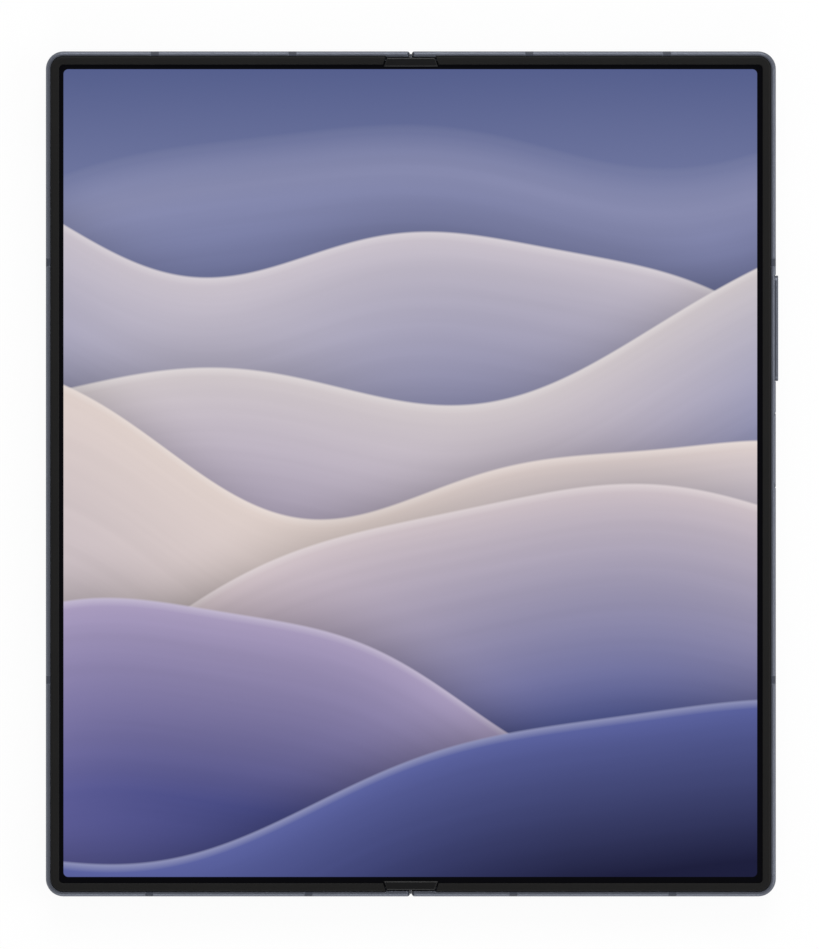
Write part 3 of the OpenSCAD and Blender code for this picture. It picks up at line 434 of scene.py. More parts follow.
def finish(name, colour, gloss, metallic=0.0, spread=0.1, gloss_spread=0.1, scale=4000, bump=0.1,
           stretch=(1, 1, 1), follows=False, edge=0.0, coat=0.0, specular=0.5):
    """A material from the shared groups. Gloss is the roughness, 0 for polished; edge is how strongly
    the edges are brightened by a painted highlight. Gives the material, its tree, its shader and the
    grain's outputs."""
    material, tree, shader = new_material(name)
    made = use(tree, grain, Place=place_of(tree, stretch, follows), Colour=(*colour, 1), Spread=spread,
               Gloss=gloss, Gloss_spread=gloss_spread, Scale=float(scale))
    shade = made["Colour"]
    bumps = {"Height": made["Height"], "Strength": bump, "Distance": grain_height}
    relief = add(tree, "ShaderNodeBump", bumps)
    # With edge set, the rounded normal shades the edges, and their colour is brightened: a painted
    # highlight.
    if edge:
        line = use(tree, edges, Width=edge_width, Strength=edge)
        highlight_tone = [min(1, highlight_gain * c + highlight_lift) for c in colour]
        shade = mix(tree, line["Mask"], shade, (*highlight_tone, 1))
        fill(tree, relief, {"Normal": line["Normal"]})
    fill(tree, shader, {"Metallic": metallic, "Coat Weight": coat, "Specular IOR Level": specular,
                        "Base Color": shade, "Roughness": made["Roughness"], "Normal": relief.outputs[0]})
    print("finish:", name)
    return Finish(material, tree, shader, made)


def dress(finished, *names):
    """Gives hard parts of the frame their finish."""
    for name in names:
        slots = nodes[name].data.materials
        slots.clear()
        slots.append(finished.material)


print("edge:", round(edge_width / mm, 2), "mm wide")

# %% [markdown]
# ## Anodised metal
# The frames, keys, spine and card tray are blasted and dyed aluminium: a dark navy grey with a satin
# sheen, a grain too fine to see as dots, and edges of a brighter colour, partly the paler cut metal and
# partly a painted highlight. The dye takes part of the metal's mirror away, so the shader isn't fully
# metallic.

# %% Anodised metal
frame_grey = (0.114, 0.124, 0.152)
anodised = finish("anodised_metal", frame_grey, 0.36, metallic=0.7, spread=0.06, scale=9000, edge=1.6)
dress(anodised, "right_frame", "left_frame", "volume_key", "side_key", "sim_tray", "camera_island")
spine_metal = finish("spine_metal", (0.12, 0.13, 0.165), 0.28, metallic=0.85, spread=0.06, scale=2500,
                     stretch=(1, 0.04, 1), edge=1.2)
dress(spine_metal, "spine_shell")

# %% [markdown]
# ## Antenna bands
# Radio waves don't pass metal, so the frame is cut in eight places at the ends and four at the sides,
# and the cuts are filled with moulded plastic, sanded flush and dyed close to the metal's colour. It
# differs from the metal mostly in having no mirror, so the recipe without Metallic is enough.

# %% Antenna plastic
antenna = finish("antenna_plastic", (0.028, 0.034, 0.052), 0.5, spread=0.12, scale=7000, bump=0.15)
dress(antenna, "right_antenna_bands", "left_antenna_bands")

# %% [markdown]
# ## Soft rim
# The raised black rim keeps the two halves of the screen apart when the phone is shut. It is a soft
# moulding with an eroded, matt skin. The caps over the fold are smoother and darker. They bend, so
# their grain follows the place at rest.

# %% Soft rim
soft_black = finish("soft_rim", (0.0082, 0.0080, 0.0077), 0.6, spread=0.25, scale=6000, bump=0.25,
                    follows=True, specular=0.12)
cap_black = finish("fold_cap", (0.0036, 0.0036, 0.0038), 0.36, spread=0.2, scale=6000, bump=0.12,
                   follows=True, specular=0.25)

# %% [markdown]
# ## One wave of the picture
# The screen is lit, so its colour is light that it gives out, not light that it reflects. The picture
# is made of broad soft waves lying over each other, like dunes in the evening. One group draws one
# wave: everything below a swinging line. The line is a slow sine with a smaller, quicker one on top,
# and a point's depth below it decides all the rest. Distances are shares of the screen's size.

# %% Wave group
black = (0.0, 0.0, 0.0, 1.0)
white = (1.0, 1.0, 1.0, 1.0)
wave, g, out = new_group(
    "screen_wave",
    {"Picture": black, "Place": [0.0, 0.0, 0.0], "Height": 0.0, "Slope": 0.0, "Swell": 0.1, "Length": 1.0,
     "Phase": 0.0, "Crest": white, "Depth": black, "Far": black, "Fade": 0.3, "Softness": 0.004,
     "Shade": -0.2},
    {"Picture": tuple})
quick_pace, quick_start, quick_swell = 2.17, 1.3, 0.22
axes = axes_of(wave, g["Place"])
x, y = axes["X"], axes["Y"]
swing = calc(wave, "MULTIPLY_ADD", calc(wave, "DIVIDE", x, g["Length"]), 2 * math.pi, g["Phase"])
slow = calc(wave, "SINE", swing)
quick = calc(wave, "SINE", calc(wave, "MULTIPLY_ADD", swing, quick_pace, quick_start))
line = calc(wave, "MULTIPLY_ADD", quick, quick_swell, slow)
line = calc(wave, "MULTIPLY_ADD", line, g["Swell"], g["Height"])
line = calc(wave, "MULTIPLY_ADD", x, g["Slope"], line)
depth = calc(wave, "SUBTRACT", line, y)
print("wave's line:", len(wave.nodes), "nodes")

# %% [markdown]
# ## Colours of a wave
# The colour fades from the crest down into the wave, and drifts from side to side. Silky streaks follow
# the line: they are noise that is pressed flat along it. The crest has a thin glint, and whatever lies
# behind the wave is in its soft shade.

# %% Wave colours
fade_curve = 0.62  # below 1, the crest's colour fades fast at first
drift = 0.28
silk_pull, silk_scale = 34.0, 1.6
silk_swing, silk_floor = 0.12, 0.94
glint_depth, glint_strength = 0.012, 0.22
shade_reach = 0.075
fall = calc(wave, "POWER", calc(wave, "DIVIDE", depth, g["Fade"], clamp=True), fade_curve)
across = calc(wave, "MULTIPLY_ADD", slow, drift, calc(wave, "ADD", x, 0.5), clamp=True)
filled = mix(wave, fall, g["Crest"], mix(wave, across, g["Depth"], g["Far"]))
pressed = calc(wave, "MULTIPLY", depth, silk_pull)
along = add(wave, "ShaderNodeCombineXYZ", {"X": x, "Y": pressed, "Z": g["Phase"]}).outputs[0]
silk = calc(wave, "MULTIPLY_ADD", noise(wave, along, silk_scale, 3.0), silk_swing, silk_floor)
filled = scaled(wave, filled, silk)
glint = calc(wave, "SUBTRACT", 1.0, calc(wave, "DIVIDE", depth, glint_depth), clamp=True)
filled = mix(wave, calc(wave, "MULTIPLY", glint, glint_strength), filled, white)
near = calc(wave, "ADD", calc(wave, "DIVIDE", depth, shade_reach), 1.0, clamp=True)
shade = calc(wave, "MULTIPLY_ADD", calc(wave, "MULTIPLY", near, near), g["Shade"], 1.0)
behind = scaled(wave, g["Picture"], shade)
inside = calc(wave, "DIVIDE", depth, g["Softness"], clamp=True)
fill(wave, out, {"Picture": mix(wave, inside, behind, filled)})
print("wave group:", len(wave.nodes), "nodes")

# %% [markdown]
# ## The whole picture
# Seven waves lie over a dusky sky, in the slate blue, lavender, cream, mauve and navy of such a
# screen. Each wave takes the picture made so far and gives it on with itself drawn in front, so the
# last one in the list is the nearest.


# %% Picture
def srgb(red, green, blue):
    """A colour as seen on a screen, 0 to 255, turned into the linear values that a shader works with."""
    share = np.array([red, green, blue]) / 255
    linear = np.where(share <= 0.04045, share / 12.92, ((share + 0.055) / 1.055) ** 2.4)
    return (*linear.tolist(), 1.0)


lit_w, lit_h = 126.0 * mm, 146.7 * mm
lit_middle = (-0.1 * mm, 0.15 * mm, 0)
waves = [
    # height, slope, swell, length, phase, crest, depth, far depth, fade, softness, shade
    (0.400, 0.10, 0.050, 1.30, 2.6, (150, 152, 184), (106, 114, 160), (92, 100, 148), 0.30, 0.060, 0.0),
    (0.265, -0.16, 0.060, 1.15, 0.4, (208, 199, 206), (134, 137, 174), (96, 104, 156), 0.34, 0.003, -0.24),
    (0.150, 0.20, 0.070, 1.45, 4.0, (214, 205, 205), (172, 156, 182), (124, 130, 176), 0.30, 0.003, -0.22),
    (0.020, -0.10, 0.075, 1.20, 5.4, (226, 211, 204), (196, 184, 190), (112, 124, 182), 0.40, 0.003, -0.22),
    (-0.120, 0.18, 0.080, 1.50, 1.3, (214, 200, 202), (170, 146, 172), (72, 86, 150), 0.30, 0.003, -0.24),
    (-0.255, -0.14, 0.060, 1.10, 3.1, (178, 164, 196), (92, 92, 150), (44, 54, 112), 0.24, 0.003, -0.28),
    (-0.375, 0.12, 0.050, 1.40, 0.2, (96, 104, 168), (44, 48, 96), (25, 27, 58), 0.20, 0.003, -0.32),
]
material, tree, shader = new_material("lit_screen")
rest = rest_place(tree)
from_middle = vector(tree, "SUBTRACT", rest, lit_middle)
unit = vector(tree, "MULTIPLY", from_middle, (1 / lit_w, 1 / lit_h, 0))
sky = ramp(tree, axes_of(tree, unit)["Y"], 0.2, 0.5)
picture = mix(tree, sky, srgb(132, 138, 176), srgb(84, 94, 140))
for height, slope, swell, length, phase, crest, low, far, fade, soft, shade in waves:
    drawn = use(tree, wave, Picture=picture, Place=unit, Height=height, Slope=slope, Swell=swell,
                Length=length, Phase=phase, Crest=srgb(*crest), Depth=srgb(*low), Far=srgb(*far),
                Fade=fade, Softness=soft, Shade=shade)
    picture = drawn["Picture"]
print("picture:", len(waves), "waves")

# %% [markdown]
# ## The lit area and the film over it
# Inside the soft rim the panel has a black border, up to 1 mm wide. The lit area is a rectangle with
# small round corners: a point is in it if its distance to the inner rectangle is less than the corner
# radius. The film on top is glossy but reflects little.

# %% Lit area and film
lit_corner = 0.9 * mm
lit_fade = 0.08 * mm  # the lit area's border is this soft
folded = vector(tree, "ABSOLUTE", from_middle)
inner = (lit_w / 2 - lit_corner, lit_h / 2 - lit_corner, 1)
beyond = vector(tree, "MAXIMUM", vector(tree, "SUBTRACT", folded, inner), (0, 0, 0))
lit = ramp(tree, vector(tree, "LENGTH", beyond), lit_corner, lit_corner - lit_fade)
film = use(tree, grain, Place=rest, Colour=(0.0007, 0.0007, 0.0018, 1), Spread=0.1, Gloss=0.10,
           Gloss_spread=0.05, Scale=600.0)
fill(tree, shader, {"Base Color": film["Colour"], "Roughness": film["Roughness"],
                    "Specular IOR Level": 0.14, "Emission Strength": 1.0,
                    "Emission Color": mix(tree, lit, black, picture)})
lit_screen = Finish(material, tree, shader, film)
print("lit area:", round(lit_w / mm, 1), "by", round(lit_h / mm, 1), "mm")

# %% [markdown]
# ## Back glass
# The back glass is etched to a satin over a dark blue coat. It scatters light as blasted metal does,
# but keeps a thin clear gloss on top.

# %% Back glass
satin_blue = finish("satin_back", (0.034, 0.044, 0.082), 0.36, spread=0.06, scale=12000, bump=0.12,
                    coat=0.1, specular=0.4)
dress(satin_blue, "rear_glass")

# %% [markdown]
# ## Cover glass
# The cover glass on the other half is polished, and black because its display is off. Round its
# camera lie a thin grey ring, a black gap and the blue shine of the lens, as three steps of one
# distance: that from the camera's middle. The blue shine is a painted reflection.

# %% Cover glass
ring_from, ring_full = 1.75 * mm, 1.65 * mm
gap_from, gap_full = 1.5 * mm, 1.4 * mm
pupil_from, pupil_full = 0.85 * mm, 0.65 * mm
dark_glass = finish("dark_cover", (0.0025, 0.0025, 0.0035), 0.05, spread=0.1, gloss_spread=0.04,
                    scale=500, bump=0.02, specular=0.35)
tree = dark_glass.tree
camera_x, camera_y, _ = middle_of("cover_camera")
to_camera = vector(tree, "DISTANCE", place_of(tree), (camera_x, camera_y, back_z))
tone = mix(tree, ramp(tree, to_camera, ring_from, ring_full), dark_glass.grain["Colour"],
           (0.06, 0.062, 0.072, 1))
tone = mix(tree, ramp(tree, to_camera, gap_from, gap_full), tone, (0.002, 0.002, 0.003, 1))
# The lens' blue is a painted reflection of the coated lens.
tone = mix(tree, ramp(tree, to_camera, pupil_from, pupil_full), tone, (0.012, 0.016, 0.06, 1))
fill(tree, dark_glass.shader, {"Base Color": tone})
dress(dark_glass, "cover_glass")
dark_panel = finish("dark_panel", (0.003, 0.003, 0.003), 0.3, scale=3000)
dress(dark_panel, "cover_display")

# %% [markdown]
# ## Lenses
# The windows over the cameras are clear, so that the stepped black barrels behind them show. They are
# coated against reflections, which a low refractive index imitates. The front lenses behind them shine
# violet, like tinted mirrors.

# %% Lenses
clear = finish("lens_window", (0.86, 0.88, 0.93), 0.02, spread=0.02, gloss_spread=0.01, bump=0.01)
fill(clear.tree, clear.shader, {"Transmission Weight": 1.0, "IOR": 1.12})
coated = finish("coated_lens", (0.045, 0.022, 0.12), 0.06, metallic=1.0, spread=0.3, scale=900, bump=0.01)

# %% [markdown]
# ## Black camera parts, rings and flash
# The barrels are blackened inside so that no stray light reaches the sensor. The rings are turned on a
# lathe and polished. The flash window is clear plastic with moulded ridges over a yellow lamp.

# %% Camera finishes
matt_black = finish("camera_black", (0.005, 0.005, 0.006), 0.45, spread=0.2, scale=5000, bump=0.03,
                    specular=0.25)
dress(matt_black, "under_display_camera", "cover_camera", "speaker_bottom", "speaker_top")
ring_metal = finish("turned_ring", (0.14, 0.15, 0.19), 0.24, metallic=0.9, spread=0.08, scale=7000, edge=1.5)
flash_plastic = finish("flash_window", (0.82, 0.74, 0.48), 0.18, spread=0.1, scale=2500, coat=0.6)

# %% [markdown]
# ## Metals inside
# These show only when the phone is taken apart: brushed sheet, drawn and ground steel, nickel, yellow
# brass and gold. All are the recipe with Metallic at 1, where the colour tints the mirror itself.
# Brushing is the same grain, stretched along the strokes.

# %% Metals inside
sheet_steel = finish("sheet_steel", (0.52, 0.52, 0.53), 0.34, metallic=1.0, scale=3000,
                     stretch=(1, 0.03, 1), edge=0.8)
dress(sheet_steel, "board_shield", "key_bracket", "sim_reader")
drawn_steel = finish("drawn_steel", (0.40, 0.40, 0.41), 0.28, metallic=1.0, scale=5000, edge=1.0)
dress(drawn_steel, "right_screws", "left_screws")
ground_steel = finish("ground_steel", (0.40, 0.40, 0.42), 0.3, metallic=1.0, scale=4000,
                      stretch=(1, 0.05, 1), edge=1.0)
dress(ground_steel, "rail_block_top", "rail_block_bottom", "gear_housing", "vibration_motor",
      "rotator_right_top", "rotator_right_bottom", "rotator_left_top", "rotator_left_bottom")
nickel = finish("nickel_plate", (0.60, 0.59, 0.57), 0.16, metallic=1.0, spread=0.05, scale=1500)
dress(nickel, "closing_magnets_right", "closing_magnets_left")
brass = finish("cut_brass", (0.60, 0.46, 0.22), 0.3, metallic=1.0, scale=6000, edge=1.0)
dress(brass, "idler_gear_right", "idler_gear_left", "sync_gear_right", "sync_gear_left")
gold = finish("gold_contact", (0.78, 0.56, 0.24), 0.22, metallic=1.0, spread=0.05, scale=4000)

# %% [markdown]
# ## Charging socket
# The socket is a drawn steel shell with a tongue of black plastic in its mouth. Both are one part, so
# the finish changes with the place: the tongue is near the middle height and not near the ends.

# %% Socket
tongue_half_t, tongue_half_w = 0.42 * mm, 3.5 * mm
tongue_depth = 0.2 * mm  # the tongue starts this far inside the mouth
socket = finish("charging_socket", (0.34, 0.34, 0.35), 0.3, metallic=1.0, scale=5000)
tree = socket.tree
mouth_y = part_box("usb_port")[0].y
socket_middle = middle_of("usb_port")
axes = axes_of(tree, place_of(tree))
off_height = calc(tree, "ABSOLUTE", calc(tree, "SUBTRACT", axes["Z"], socket_middle.z))
off_middle = calc(tree, "ABSOLUTE", calc(tree, "SUBTRACT", axes["X"], socket_middle.x))
thin = calc(tree, "LESS_THAN", off_height, tongue_half_t)
narrow = calc(tree, "LESS_THAN", off_middle, tongue_half_w)
inside = calc(tree, "GREATER_THAN", axes["Y"], mouth_y + tongue_depth)
tongue = calc(tree, "MULTIPLY", calc(tree, "MULTIPLY", thin, narrow), inside)
tone = mix(tree, tongue, socket.grain["Colour"], (0.008, 0.008, 0.009, 1))
fill(tree, socket.shader, {"Base Color": tone, "Metallic": calc(tree, "SUBTRACT", 1.0, tongue)})
dress(socket, "usb_port")

# %% [markdown]
# ## Foil and boards
# The battery cells are wrapped in foil. Its creases are the borders of Voronoi cells, which that
# texture gives as the distance to the nearest border. The same texture, with its distance counted along
# the axes, gives the boards their square-cornered copper.

# %% Foil and boards
foil = finish("cell_foil", (0.045, 0.046, 0.05), 0.36, metallic=0.4, spread=0.15, scale=1500)
tree = foil.tree
crease = add(tree, "ShaderNodeTexVoronoi", {"Vector": place_of(tree), "Scale": 90.0},
             feature="DISTANCE_TO_EDGE").outputs["Distance"]
creased = add(tree, "ShaderNodeBump", {"Height": crease, "Strength": 0.4, "Distance": 0.4 * mm})
fill(tree, foil.shader, {"Normal": creased.outputs[0]})
dress(foil, "battery_right", "battery_left")

boards = finish("circuit_board", (0.012, 0.075, 0.045), 0.3, spread=0.1, scale=2500, coat=0.3)
tree = boards.tree
cells = add(tree, "ShaderNodeTexVoronoi", {"Vector": place_of(tree), "Scale": 650.0},
            distance="MANHATTAN").outputs["Distance"]
copper = ramp(tree, cells, 0.55, 0.6)
tone = mix(tree, copper, boards.grain["Colour"], (0.06, 0.20, 0.09, 1))
fill(tree, boards.shader, {"Base Color": tone})
dress(boards, "main_board", "sub_board", "left_board")

# %% [markdown]
# ## Wound wire and ribbon film
# The charging coil is a flat spiral of lacquered copper wire, so its relief is a zigzag of the distance
# from its middle. The ribbons are amber film with copper tracks side by side, which are the same zigzag
# along one axis.

# %% Wound wire and ribbon film
wire_half = 0.2 * mm  # half the step from one turn of wire to the next
coil = finish("coil_wire", (0.62, 0.30, 0.15), 0.28, metallic=0.9, scale=3000)
tree = coil.tree
to_middle = vector(tree, "DISTANCE", place_of(tree), middle_of("charging_coil"))
turns = calc(tree, "DIVIDE", calc(tree, "PINGPONG", to_middle, wire_half), wire_half)
wound = add(tree, "ShaderNodeBump", {"Height": turns, "Strength": 0.8, "Distance": 0.2 * mm})
fill(tree, coil.shader, {"Normal": wound.outputs[0]})
dress(coil, "charging_coil")

lane_half = 0.25 * mm  # half the step from one track to the next
track_from = 0.14 * mm
film_amber = finish("ribbon_film", (0.42, 0.20, 0.05), 0.2, spread=0.05, scale=800, coat=0.4, follows=True)
tree = film_amber.tree
lanes = calc(tree, "PINGPONG", axes_of(tree, rest_place(tree))["Y"], lane_half)
track = calc(tree, "GREATER_THAN", lanes, track_from)
tone = mix(tree, track, film_amber.grain["Colour"], (0.55, 0.30, 0.14, 1))
fill(tree, film_amber.shader, {"Base Color": tone})

# %% [markdown]
# ## The folding screen
# The screen is one sheet, but a piece can bend only between two bodies, so it is made as two halves
# that meet in the middle of the fold. The lines across the bend lie 0.1 mm apart, so that it stays
# round. A shallow crease runs along the fold, as on any screen of this kind that has been folded a few
# times.


# %% Screen halves
screen_corner = 1.5 * mm
fine_lines = np.linspace(0, 6, 61) * mm  # the lines across the bend
crease_depth, crease_width = 0.04 * mm, 1.6 * mm


def screen_half():
    """Top and bottom of the right half. Column x has the half length Y(x) = screen_y, and in the corner
    screen_y - r + sqrt(r^2 - (x - screen_x + r)^2). Row v puts its point at y = v Y(x). The crease is
    z = -depth exp(-(x / width)^2)."""
    r = screen_corner
    flat = np.linspace(fine_lines[-1], screen_x - r, 10)[1:]
    turn = screen_x - r + r * np.sin(np.radians(np.linspace(0, 90, 13)[1:]))
    x = np.concatenate([fine_lines, flat, turn])[None, :]
    into_corner = np.clip(x - (screen_x - r), 0, r)
    half_length = screen_y - r + np.sqrt(r ** 2 - into_corner ** 2)
    y = np.linspace(-1, 1, 33)[:, None] * half_length
    crease = crease_depth * np.exp(-(x / crease_width) ** 2)
    return plate(over(x, y, screen_z - crease), over(x, y, screen_z - screen_t))


right_sheet = screen_half()
for side, part in ((1, right_sheet), (-1, on_left(right_sheet))):
    name = "right" if side > 0 else "left"
    sheet = across_fold(piece("screen_" + name, part, lit_screen, sharp=60))
    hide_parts("display_" + name, "display_fold")

# %% [markdown]
# ## The soft rim
# The rim is a strip of one cross-section, swept round three sides of each half: a leg in the metal's
# seat, and a lip that reaches over the edge of the screen, with a wide rounding outside and a small
# one inside. At the fold it ends on a slant, beside the cap. A curve with a profile could make the
# strip too, but only computed sections give it slanted ends that fit the cap.


# %% Rim
outer_round = (0.37 * mm, 0.32 * mm)  # radii across and up
inner_round = (0.15 * mm, 0.12 * mm)
lip_t = 0.30 * mm


def slant(offset, gap=0.0):
    """How far from the fold's middle the slanted joint lies, at this offset from the outer edge."""
    share = (offset - cap_out) / (cap_in - cap_out)
    return cap_half_out + share * (cap_half_in - cap_half_out) + gap


def rim_profile():
    """The cross-section's offsets d from the edge and heights z, from the foot over the top and back."""
    lip = rim_z - lip_t
    profile = np.concatenate([
        [(rim_out, rim_foot_z)],
        arc((rim_out + outer_round[0], rim_z - outer_round[1]), outer_round, 180, 90, 8),
        arc((rim_in - inner_round[0], rim_z - inner_round[1]), inner_round, 90, 0, 6),
        [(rim_in, lip), (rim_leg, lip), (rim_leg, rim_foot_z)]])
    return profile[None, :, 0], profile[None, :, 1]


def rim_half():
    """The path of the profile (d, z): straight from the fold along y = edge_y - d, round the corner's
    centre with radius corner_r - d, straight down, and the mirror image of that back to the fold."""
    d, z = rim_profile()
    centre_x, centre_y = edge_x - corner_r, edge_y - corner_r
    along = np.linspace(0, 1, 9)[:, None]
    quarter = np.radians(np.linspace(90, 0, 15))[1:-1, None]
    top_x = slant(d, cap_gap) + along * (centre_x - slant(d, cap_gap))
    top_y = edge_y - d + 0 * along
    corner_x = centre_x + (corner_r - d) * np.cos(quarter)
    corner_y = centre_y + (corner_r - d) * np.sin(quarter)
    x = np.concatenate([top_x, corner_x, edge_x - d])
    y = np.concatenate([top_y, corner_y, centre_y + 0 * d])
    return bar(over(np.concatenate([x, x[::-1]]), np.concatenate([y, -y[::-1]]), z))


right_rim = rim_half()
for name, part in (("right", right_rim), ("left", on_left(right_rim))):
    rim = piece("rim_" + name, part, soft_black, body=name + "_half", sharp=50)
    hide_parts(name + "_bezel")

# %% [markdown]
# ## Caps over the fold
# Where the rim is cut for the fold, a thin black cap covers the end of the screen's layers. It is wider
# inside than outside, and bends with the screen. Each cap is made as two halves, like the screen. A
# Bevel modifier could round its edges, but a height worked out from the distance to the nearest edge
# does it on a plain grid, which bends well.


# %% Caps
cap_round = 0.28 * mm
even_to = 0.93  # beyond this share of the width, the lines lie closer


def cap_half():
    """Upper right cap half: y from the inner to the outer side, x = u X(y) up to the slanted end. The
    top falls off towards the three free edges by r - sqrt(r^2 - (r - s)^2), s being the distance."""
    closer = 1 - (1 - even_to) * (1 - np.linspace(0, 1, 10)[1:]) ** 2
    u = np.concatenate([np.linspace(0, even_to, 44), closer])[None, :]
    ease = (1 - np.cos(np.radians(np.linspace(0, 180, 25)))) / 2
    offset = (cap_in + ease * (cap_out - cap_in))[:, None]
    end = slant(offset)
    nearest = np.minimum(np.minimum(offset - cap_out, cap_in - offset), (1 - u) * end)
    from_centre = cap_round - np.clip(nearest, 0, cap_round)
    fall = cap_round - np.sqrt(cap_round ** 2 - from_centre ** 2)
    x, y = u * end, edge_y - offset
    return plate(over(x, y, cap_high.z - fall), over(x, y, cap_low.z))


top_right = cap_half()
for end, part in (("top", top_right), ("bottom", at_bottom(top_right))):
    for side, half in ((1, part), (-1, on_left(part))):
        name = "cap_" + end + ("_right" if side > 0 else "_left")
        cap = across_fold(piece(name, half, cap_black, sharp=50))
        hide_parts("bezel_cap_" + end)

# %% [markdown]
# ## Ribbons across the fold
# Two flat cables carry power and data from one half to the other, through the spine. Like the screen,
# they are made as two halves that meet in the middle of the fold, with close lines where they bend.


# %% Ribbons
ribbon_middles = (-26 * mm, 26 * mm)
ribbon_half_w = 5.5 * mm
ribbon_lines = np.linspace(0, 5, 41) * mm  # the lines across the bend


def ribbon_half():
    """Two strips side by side, each a plate from the fold's middle to its end."""
    low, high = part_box("hinge_flex_cable")
    x = np.append(ribbon_lines, high.x)
    strips = []
    for middle in ribbon_middles:
        y = middle + np.array([[-ribbon_half_w], [ribbon_half_w]])
        strips.append(plate(over(x, y, high.z), over(x, y, low.z)))
    return joined(*strips)


right_ribbons = ribbon_half()
for side, part in ((1, right_ribbons), (-1, on_left(right_ribbons))):
    name = "ribbons_right" if side > 0 else "ribbons_left"
    ribbons = across_fold(piece(name, part, film_amber))
    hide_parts("hinge_flex_cable")

# %% [markdown]
# ## Fins of the spine
# Seen from above, a narrow notch is left between the ends of the two frames. A thin rounded fin on
# either end of the spine fills it, and shows as a glint of metal between two dark gaps. The fin is a
# bar through a row of cross-sections, and its free end is round because the last ones shrink.


# %% Fins
fin_sunk = 0.05 * mm  # the fin starts this far inside the end plate
fin_short = 0.42 * mm  # and ends this far short of the frame's end
fin_round = 0.15 * mm  # length of its rounded end
web_half, foot_half = 0.1 * mm, 0.165 * mm
foot_z, shoulder_z, web_z, head_z = (back_z + height * mm for height in (0.7, 4.25, 4.3, 5.1))


def fin():
    """Cross-section: a foot as wide as the notch, a narrow web, and a half circle of radius w on top.
    It runs along y from the spine's end plate, and w shrinks at the free end as sqrt(1 - t^2)."""
    start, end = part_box("spine_shell")[1].y - fin_sunk, edge_y - fin_short
    t = np.linspace(0, 0.98, 8)
    y = np.append(start, end - fin_round * (1 - t))[:, None]
    web = web_half * np.append(1, np.sqrt(1 - t ** 2))[:, None]
    foot = foot_half - web_half + web
    over_top = np.radians(np.linspace(180, 0, 11))[None, :]
    x = np.concatenate([-foot, -foot, -web, web * np.cos(over_top), web, foot, foot], axis=1)
    up = np.array([[foot_z, shoulder_z, web_z]]) + 0 * y
    z = np.concatenate([up, head_z + web * np.sin(over_top), up[:, ::-1]], axis=1)
    return bar(over(x, y, z))


upper_fin = fin()
fins = joined(upper_fin, at_bottom(upper_fin))
piece("spine_fins", fins, spine_metal, "spine", sharp=40)

# %% [markdown]
# ## Profiles of a camera
# Each camera on the back stands in a turned metal ring with rounded edges and a fine groove. Under the
# window is a black baffle that steps down to the front lens. All of it is round, so profiles are
# enough: radius and height in millimetres, the height counted from the outer face of the back glass.
# The fine steps are real shape, because the clear window shows them from every side.


# %% Camera profiles
def in_metres(profile):
    """A profile in millimetres from the back glass' outer face, turned into scene metres."""
    return np.asarray(profile, float) * mm + (0, back_z)


ring_profile = in_metres(np.concatenate([
    [(5.05, -1.40)], arc((5.15, -1.50), (0.10, 0.10), 180, 270, 6),
    [(6.02, -1.60), (6.06, -1.56), (6.12, -1.56), (6.16, -1.60)],
    arc((6.42, -1.32), (0.28, 0.28), 270, 360, 10), [(6.70, -0.80), (5.45, -0.80), (5.45, -1.40)]]))
window_profile = in_metres([(0, -1.4), (5.3, -1.4), (5.4, -1.3), (5.4, -1.1), (5.3, -1.0), (0, -1.0)])
lens_share = 0.46  # the front lens' seat, as a share of the barrel


def barrel_profile(radius):
    """A tube whose mouth narrows in six steps down to the seat of the front lens."""
    mouth, seat = radius - 0.25, lens_share * radius
    radii = np.repeat(np.linspace(mouth, seat + 0.1, 6), 2)
    depths = np.repeat(np.linspace(-0.9, -0.15, 6), 2)
    stairs = np.stack([radii[1:], depths[:-1]], axis=1)[::-1]
    return in_metres(np.concatenate([
        [(0, 0.3), (seat, 0.3), (seat, -0.1)], stairs,
        [(mouth, -0.98), (4.9, -0.98), (4.9, -0.7), (radius, -0.7), (radius, 1.2), (0, 1.2)]]))


def lens_profile(radius):
    """A front lens that bulges outwards, with a little room round it in its seat."""
    lens = lens_share * radius - 0.02
    dome = arc((0, 0), (lens, 0.34), 270, 360, 12)
    return in_metres(np.concatenate([dome, [(lens, 0.2), (0, 0.2)]]))


print("ring profile:", len(ring_profile), "points")

# %% [markdown]
# ## Camera rings, windows and barrels
# Each profile is turned about the middle of its hard part's box. The barrel and the square housing
# behind it are one piece. The three cameras differ only in the radius of their barrels.


# %% Cameras
def housing(name):
    """The square housing of a camera, from just behind the back glass to the hard part's top."""
    low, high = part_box(name)
    x, y = np.array([low.x, high.x]), np.array([[low.y], [high.y]])
    return plate(over(x, y, high.z), over(x, y, back_z + 1.0 * mm))


barrel_radius = {"top": 3.5, "middle": 4.5, "bottom": 3.9}
lenses = []
for place, radius in barrel_radius.items():
    centre = middle_of("camera_ring_" + place)
    turned = lathe(ring_profile, centre, ring=True)
    ring = piece("ring_" + place, turned, ring_metal, "right_half")
    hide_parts("camera_ring_" + place)
    turned = lathe(window_profile, centre)
    window = piece("window_" + place, turned, clear, "right_half")
    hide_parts("camera_glass_" + place)
    whole = joined(lathe(barrel_profile(radius), centre), housing("camera_module_" + place))
    body = piece("camera_" + place, whole, matt_black, "right_half")
    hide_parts("camera_module_" + place)
    lenses.append(lathe(lens_profile(radius), centre))
piece("camera_elements", joined(*lenses), coated, "right_half")

# %% [markdown]
# ## Flash window
# The window has four fine ridges round the middle, which spread the lamp's light. A bump in the
# finish could draw them, but real ridges catch the light from every side. They are a cosine wave at
# the start of a profile that is turned like the cameras'.

